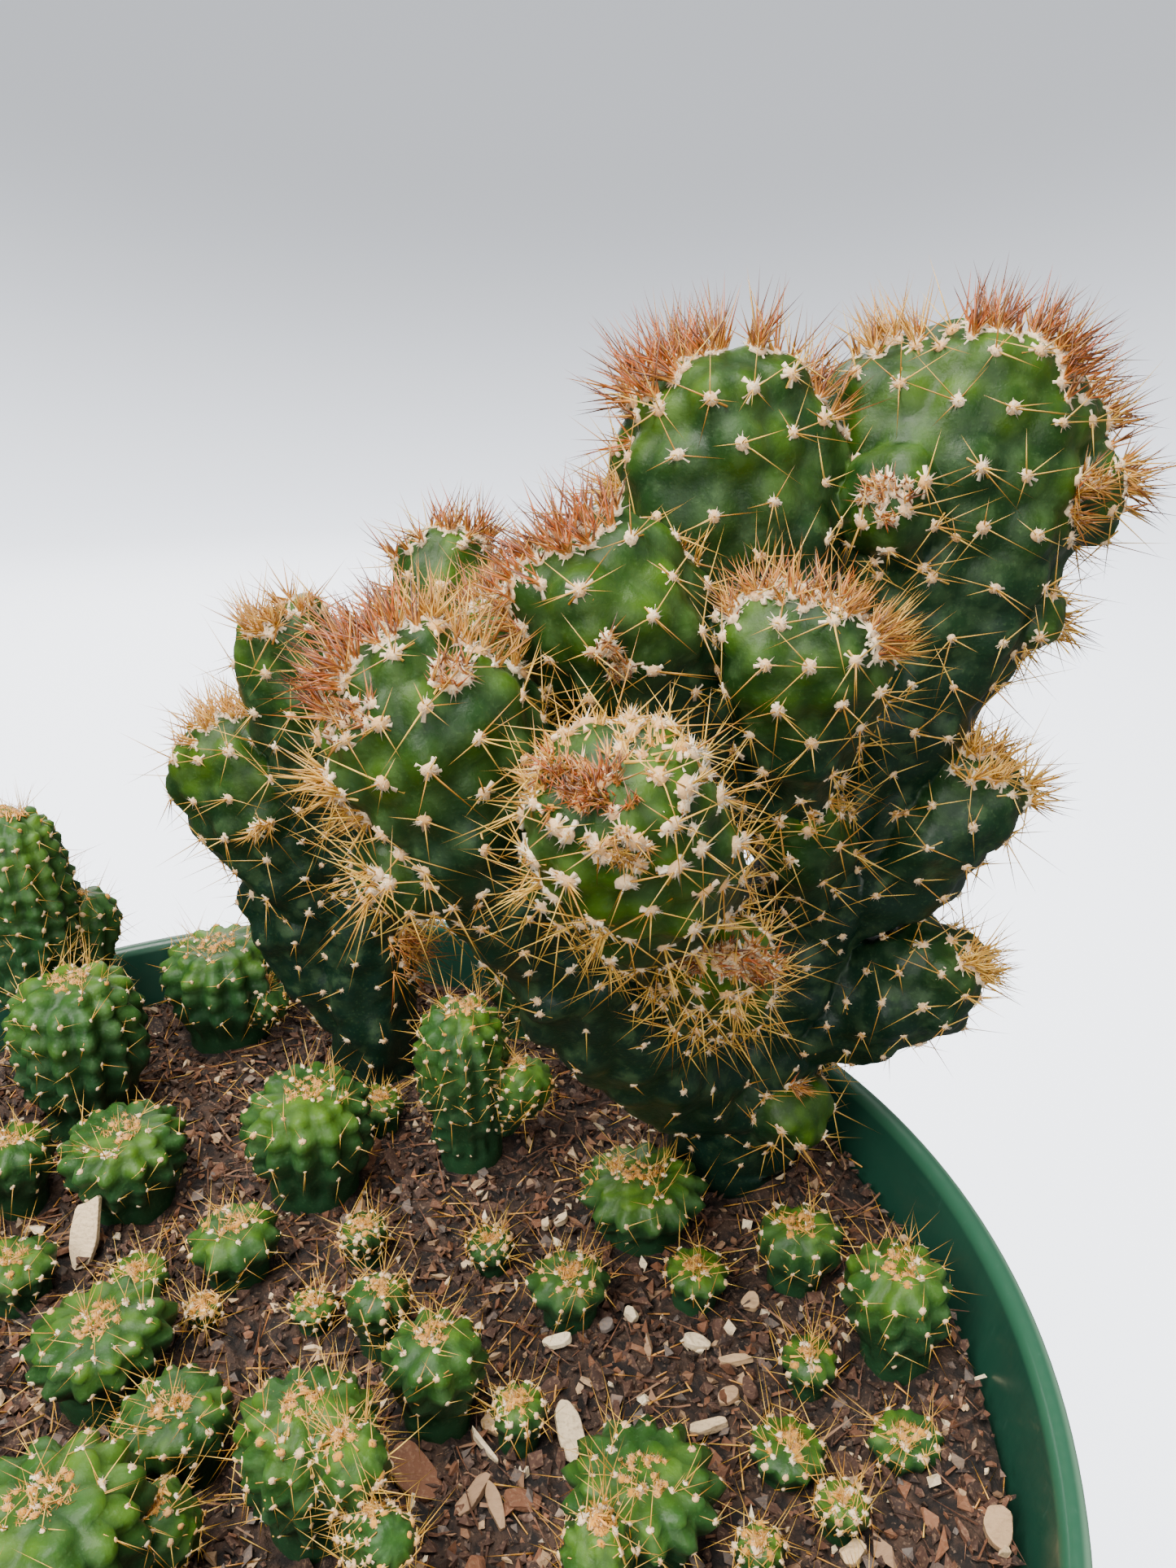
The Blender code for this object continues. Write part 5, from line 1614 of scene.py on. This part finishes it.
@dataclass(frozen=True)
class Chunk:
    """One piece of litter with a place of its own."""
    x: float
    y: float
    length: float
    width: float
    tone: float
    turn: float
    lift: float = 0.6
    stony: float = 0.0
    tilt: float = 0.2  # how far its far end rises, in radians


@dataclass
class SoilBed:
    """The bark mix that fills the pot, with its litter."""
    stems: list[tuple[float, float, float]] = field(default_factory=list)
    sides: int = 260
    rings: int = 84
    flakes: int = 200
    chips: int = 6000
    crumbs: int = 9600
    fibres: int = 2600
    needles: int = 900
    needle_radius: float = 0.17
    largest_crumb: float = 2.7
    chunk_depth: float = 1.3
    bank: float = 3.2  # how much higher the soil lies by the right-hand wall
    gap: float = 0.35  # between the bed and the pot
    calm: float = 0.25  # share of the unevenness that is left at the wall
    marks: tuple[float, float] = (0.021, 0.052)  # ends of the bed's floor and side on its grid
    side_run: float = 0.031  # what lies between them
    swells: tuple[tuple[float, str, float], ...] = (
        (26.0, "soil_rolls", 0.9), (8.0, "soil_lumps", 0.55), (3.2, "soil_crumbs", 0.5))
    chunks: tuple[Chunk, ...] = (
        Chunk(-35.4, 27.8, 13.5, 6.8, 0.9, 1.45, 5.0, tilt=0.95),
        Chunk(53.4, -10.8, 11.0, 4.4, 0.92, 1.9, 3.0, tilt=0.6),
        Chunk(31.1, -17.4, 12.0, 7.6, 0.44, 2.3, 2.2, tilt=0.35),
        Chunk(39.3, -20.6, 7.6, 2.6, 0.66, 0.9, 1.4),
        Chunk(42.9, -22.5, 6.6, 2.4, 0.68, 1.9, 1.2),
        Chunk(40.3, -12.2, 7.2, 1.0, 0.95, 2.3, 1.0),
        Chunk(51.0, 6.4, 6.2, 2.2, 0.99, 0.1, 1.2),
        Chunk(59.4, 8.9, 3.2, 2.8, 0.3, 0.4, 1.4, 1.0),
        Chunk(63.7, 12.3, 3.0, 2.0, 0.96, 2.4, 1.2),
        Chunk(51.2, 35.2, 3.0, 2.0, 0.9, 0.6, 1.0),
        Chunk(48.2, 34.7, 2.6, 2.0, 0.9, 1.6, 1.0),
        Chunk(84.6, 15.7, 4.0, 3.2, 0.74, 0.8, 1.4),
        Chunk(78.6, -3.9, 4.4, 3.4, 0.7, 0.2, 1.4),
        Chunk(74.9, -8.4, 6.6, 2.2, 0.88, 0.1, 1.6),
        Chunk(74.4, 6.3, 4.4, 3.0, 0.94, 2.8, 1.4),
        Chunk(80.8, 3.0, 5.8, 2.0, 0.76, 0.05, 1.2),
        Chunk(41.5, -7.7, 4.8, 4.0, 0.8, 0.7, 1.4),
        Chunk(113.2, -28.9, 7.0, 5.2, 0.72, 1.1, 1.8),
        Chunk(93.2, -28.8, 4.2, 3.0, 0.84, 0.5, 1.2),
        Chunk(113.0, 12.0, 6.4, 4.4, 0.46, 2.2, 1.4),
        Chunk(-60, 30, 9.0, 6.0, 0.5, 2.0, 1.2),
        Chunk(-20, -70, 10.0, 5.0, 0.9, 0.4, 1.4),
        Chunk(-72, -42, 8.0, 5.0, 0.8, 2.6, 1.2),
    )

    def height(self, x: Array, y: Array) -> Array:
        """The surface of the soil, clumped and crumbled."""
        flat = rows_of(x, y, 0.0)
        rise = np.zeros(len(flat))
        for size, name, share in self.swells:
            rise += ripples(flat, size, name) * share
        bank = smooth((np.hypot(x, y) - 96.0) / 20.0) * smooth((x - 60.0) / 50.0)
        return SOIL_LEVEL + rise + bank * self.bank

    def build_bed(self, pot: NurseryPot) -> Thing:
        """The soil's body: down to the pot's floor, and rough on top.

        Args:
            pot: The pot that it fills.

        Returns:
            The closed bed.
        """
        low = pot.floor + self.gap
        edge = pot.inner_radius(SOIL_LEVEL) - self.gap
        bed, turn, rise = Bench.sheet("soil_bed", self.sides, self.rings)
        radius = np.interp(rise, (0.0, *self.marks, 1.0),
                           (0.0, pot.inner_radius(low) - self.gap, edge, 0.0))
        points = polar(radius, turn, 0.0)
        by_wall = self.height(edge * np.cos(turn), edge * np.sin(turn))
        rim = SOIL_LEVEL + (by_wall - SOIL_LEVEL) * self.calm
        side = low + (rim - low) * np.clip((rise - self.marks[0]) / self.side_run, 0.0, 1.0)
        inside = self.calm + (1.0 - self.calm) * smooth((edge - radius) / 6.0)
        top = SOIL_LEVEL + (self.height(points[:, 0], points[:, 1]) - SOIL_LEVEL) * inside
        points[:, 2] = np.where(rise >= self.marks[1], top, side)
        Bench.set_points(bed, points * MM)
        Bench.close(bed)
        return bed

    def spots(self, rng: np.random.Generator, count: int, margin: float, edge: float) -> Array:
        """Places on the soil that keep off the stems and the wall.

        Args:
            rng: Draws.
            count: How many places to try.
            margin: Distance to keep from stems and wall.
            edge: The soil's radius.

        Returns:
            Places in millimetres, one a row.
        """
        radius = (edge - margin) * np.sqrt(rng.uniform(size=count))
        points = polar(radius, rng.uniform(0, TURN, count), 0.0)
        stems = np.array(self.stems)
        gap = np.hypot(points[:, None, 0] - stems[None, :, 0],
                       points[:, None, 1] - stems[None, :, 1])
        points[:, 2] = self.height(points[:, 0], points[:, 1])
        return points[np.all(gap > stems[None, :, 2] + margin, axis=1)]

    @staticmethod
    def tones(rng: np.random.Generator, count: int) -> Array:
        """Tones of litter: mostly dark brown, some reddish, a few pale."""
        pick = rng.uniform(size=count)
        return np.select(
            [pick < 0.68, pick < 0.88, pick < 0.955],
            [rng.uniform(0.0, 0.32, count), rng.uniform(0.34, 0.56, count),
             rng.uniform(0.58, 0.78, count)], rng.uniform(0.8, 1.0, count))

    def litter(self, stamps: Stamps, edge: float) -> tuple[Scatter, Scatter]:
        """Strew bark, wood, grit, fibres and dropped spines.

        Args:
            stamps: The shapes to copy.
            edge: The soil's radius.

        Returns:
            The litter, and the dropped spines.
        """
        rng = draws("litter")
        heap = Scatter()
        for flake in stamps.flakes:
            places = self.spots(rng, self.flakes // len(stamps.flakes), 3.0, edge)
            count = len(places)
            length = rng.gamma(3.0, 1.1, count) + 2.4
            ups = unit(rng.normal(size=(count, 3)) * 0.4 + (0, 0, 1))
            sizes = rows_of(length, length * rng.uniform(0.35, 0.7, count),
                            rng.uniform(0.7, 1.5, count))
            places[:, 2] += rng.uniform(0.0, 0.9, count)
            heap.add(flake, places, ups, sizes, rows_of(self.tones(rng, count), 0.0, 0.0), rng)
        for chip in stamps.chips:
            places = self.spots(rng, self.chips // len(stamps.chips), 0.8, edge)
            count = len(places)
            length = rng.gamma(2.4, 0.68, count) + 0.8
            places[:, 2] += rng.uniform(-0.1, 1.1, count)
            sizes = rows_of(length, length * rng.uniform(0.25, 0.75, count),
                            rng.uniform(0.3, 0.9, count))
            ups = unit(rng.normal(size=(count, 3)) * 0.6 + (0, 0, 1))
            heap.add(chip, places, ups, sizes, rows_of(self.tones(rng, count), 0.0, 0.0), rng)
        for crumb in stamps.crumbs:
            places = self.spots(rng, self.crumbs // len(stamps.crumbs), 0.5, edge)
            count = len(places)
            size = np.minimum(rng.gamma(2.0, 0.55, count) + 0.6, self.largest_crumb)
            places[:, 2] += size * 0.3
            stony = (rng.uniform(size=count) < 0.16) * rng.uniform(0.3, 0.9, count)
            heap.add(crumb, places, rng.normal(size=(count, 3)), rows_of(size, size, size),
                     rows_of(self.tones(rng, count), stony, 0.0), rng)
        places = self.spots(rng, self.fibres, 1.5, edge)
        count = len(places)
        flat = unit(rng.normal(size=(count, 3)) * (1, 1, 0.14))
        places[:, 2] += 0.7
        width = rng.uniform(0.14, 0.34, count)
        heap.add(stamps.spine, places, flat, rows_of(width, width, rng.uniform(3, 10, count)),
                 rows_of(rng.uniform(0.2, 0.62, count), 0.0, 0.0), rng, bend=0.2)
        self.place_chunks(stamps, heap)
        dropped = Scatter()
        places = self.spots(rng, self.needles, 1.0, edge)
        count = len(places)
        places[:, 2] += 0.9
        dropped.add(stamps.spine, places, unit(rng.normal(size=(count, 3)) * (1, 1, 0.2)),
                    rows_of(self.needle_radius, self.needle_radius, rng.uniform(6, 12, count)),
                    rows_of(0.0, rng.uniform(size=count), rng.uniform(0.2, 0.9, count)),
                    rng, along=True)
        return heap, dropped

    def place_chunks(self, stamps: Stamps, heap: Scatter) -> None:
        """Lay the larger chips of wood and bark where they are seen."""
        for index, chunk in enumerate(self.chunks):
            stamp = stamps.flakes[index % len(stamps.flakes)]
            level = float(self.height(np.array([chunk.x]), np.array([chunk.y]))[0])
            turned = Matrix.Rotation(chunk.turn, 3, "Z") @ Matrix.Rotation(-chunk.tilt, 3, "Y")
            sizes = (chunk.length, chunk.width, self.chunk_depth)
            points = stamp.points * sizes @ np.array(turned).T
            heap.add_one(points + (chunk.x, chunk.y, level + chunk.lift), stamp.corners,
                         (chunk.tone, chunk.stony, 0.0))

    def dress(self, bed: Thing, heap: Scatter, dropped: Scatter,
              spines: Material) -> int:
        """Finish soil and litter and set them in place of the soil's solid.

        Args:
            bed: The soil's body.
            heap: The litter.
            dropped: The dropped spines.
            spines: Their material.

        Returns:
            How many triangles they have.
        """
        Bench.finish(bed, SoilFinish().material(), "bark_soil")
        litter = heap.model("soil_litter")
        Bench.finish(litter, LitterFinish().material(), "bark_soil")
        Bench.hold(litter)
        bpy.ops.object.shade_flat()
        needles = dropped.model("dropped_spines")
        Bench.finish(needles, spines)
        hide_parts("soil")
        return sum(Bench.triangles(piece) for piece in (bed, litter, needles))


@dataclass(frozen=True)
class Lamp:
    """A soft box."""
    name: str
    place: Triple
    size: float
    power: float
    colour: Triple = (1.0, 1.0, 1.0)


@dataclass
class Studio:
    """Pale paper sweep, soft boxes and the camera."""
    lens: float = 27.03
    sensor: float = 36.0
    camera_place: Triple = (0.0563, -0.1383, 0.3392)
    pitch: float = 67.0
    target: Triple = (0.03, 0.0, 0.22)
    lamps: tuple[Lamp, ...] = (
        Lamp("top_light", (-0.15, -0.15, 1.3), 0.7, 26.0, (1.0, 0.985, 0.94)),
        Lamp("key_light", (-0.6, -0.7, 1.15), 0.5, 17.0, (1.0, 0.975, 0.92)),
        Lamp("side_light", (1.1, -0.1, 0.9), 0.7, 2.2, (0.95, 0.975, 1.0)),
        Lamp("back_light", (-0.3, 1.3, 0.8), 0.9, 13.0, (1.0, 0.985, 0.95)),
        Lamp("front_light", (0.1, -1.3, 0.55), 0.9, 12.0, (1.0, 0.985, 0.95)),
    )
    ambient: float = 0.28
    sky: Colour = (0.93, 0.96, 1.0, 1.0)
    nearest: float = 0.005  # where the camera's view begins

    def build_sweep(self) -> None:
        """A floor that curves up into a wall all round the plant."""
        sweep, turn, rise = Bench.sheet("studio_sweep", 96, 60)
        floor_end, bend, run = 1.9, 1.1, 8.0
        quarter = math.pi / 2
        travel = rise * run
        angle = np.clip((travel - floor_end) / bend, 0.0, quarter)
        reach = np.minimum(travel, floor_end) + bend * np.sin(angle)
        wall = np.maximum(travel - floor_end - bend * quarter, 0.0)
        Bench.set_points(sweep, polar(reach, turn, bend * (1.0 - np.cos(angle)) + wall))
        Bench.hold(sweep)
        bpy.ops.object.shade_smooth()
        sweep.data.materials.append(BackdropFinish().material())
        sweep.visible_diffuse = False
        sweep.visible_glossy = False

    def light(self) -> None:
        """Hang the soft boxes and fill the room with even light."""
        for lamp in self.lamps:
            made = Bench.primitive(
                bpy.ops.object.light_add, lamp.name, type="AREA", location=lamp.place)
            made.data.shape = "SQUARE"
            made.data.size = lamp.size
            made.data.energy = lamp.power
            made.data.color = lamp.colour
            aim = Vector(self.target) - Vector(lamp.place)
            made.rotation_euler = aim.to_track_quat("-Z", "Y").to_euler()
            made.visible_camera = False
        world = bpy.data.worlds.new("studio")
        world.use_nodes = True
        background = world.node_tree.nodes["Background"]
        background.inputs[0].default_value = self.sky
        background.inputs[1].default_value = self.ambient
        bpy.context.scene.world = world

    def set_camera(self) -> None:
        """Set up the camera at the photograph's view."""
        camera = Bench.primitive(
            bpy.ops.object.camera_add, "photo_camera", location=self.camera_place,
            rotation=(math.radians(self.pitch), 0.0, 0.0))
        camera.data.lens = self.lens
        camera.data.sensor_width = self.sensor
        camera.data.clip_start = self.nearest
        bpy.context.scene.camera = camera


def main() -> None:
    """Build the colony, the soil and the pot, dress them and set up the studio."""
    logging.basicConfig(level=logging.INFO, format="%(message)s")
    studio = Studio()
    studio.set_camera()
    stamps = Stamps()
    spines = SpineFinish().material()
    wool = WoolFinish().material()
    skins = {age: finish.material() for age, finish in SKINS.items()}
    plants = [Plant("crested_clump", CLUMP, Age.OLD, stamps),
              Plant("back_clump", BACK_CLUMP, Age.OLD, stamps)]
    plants += [Plant(offset.name, offset.shoots(), Age.YOUNG, stamps) for offset in OFFSETS]
    total = 0
    for plant in plants:
        plant.build()
        total += plant.dress(skins[plant.age], spines, wool, plant.age is Age.YOUNG)

    pot = NurseryPot()
    turned = pot.build()
    pot.dress(turned)
    total += Bench.triangles(turned)
    rooted = [stem.shoot for plant in plants for stem in plant.stems if stem.shoot.root > 0]
    soil = SoilBed([(shoot.foot[0], shoot.foot[1], shoot.foot_radius) for shoot in rooted])
    bed = soil.build_bed(pot)
    heap, dropped = soil.litter(stamps, pot.inner_radius(SOIL_LEVEL) - 1.0)
    total += soil.dress(bed, heap, dropped, spines)
    LOG.info("all pieces: %d triangles", total)

    studio.build_sweep()
    studio.light()


if __name__ == "__main__":
    main()
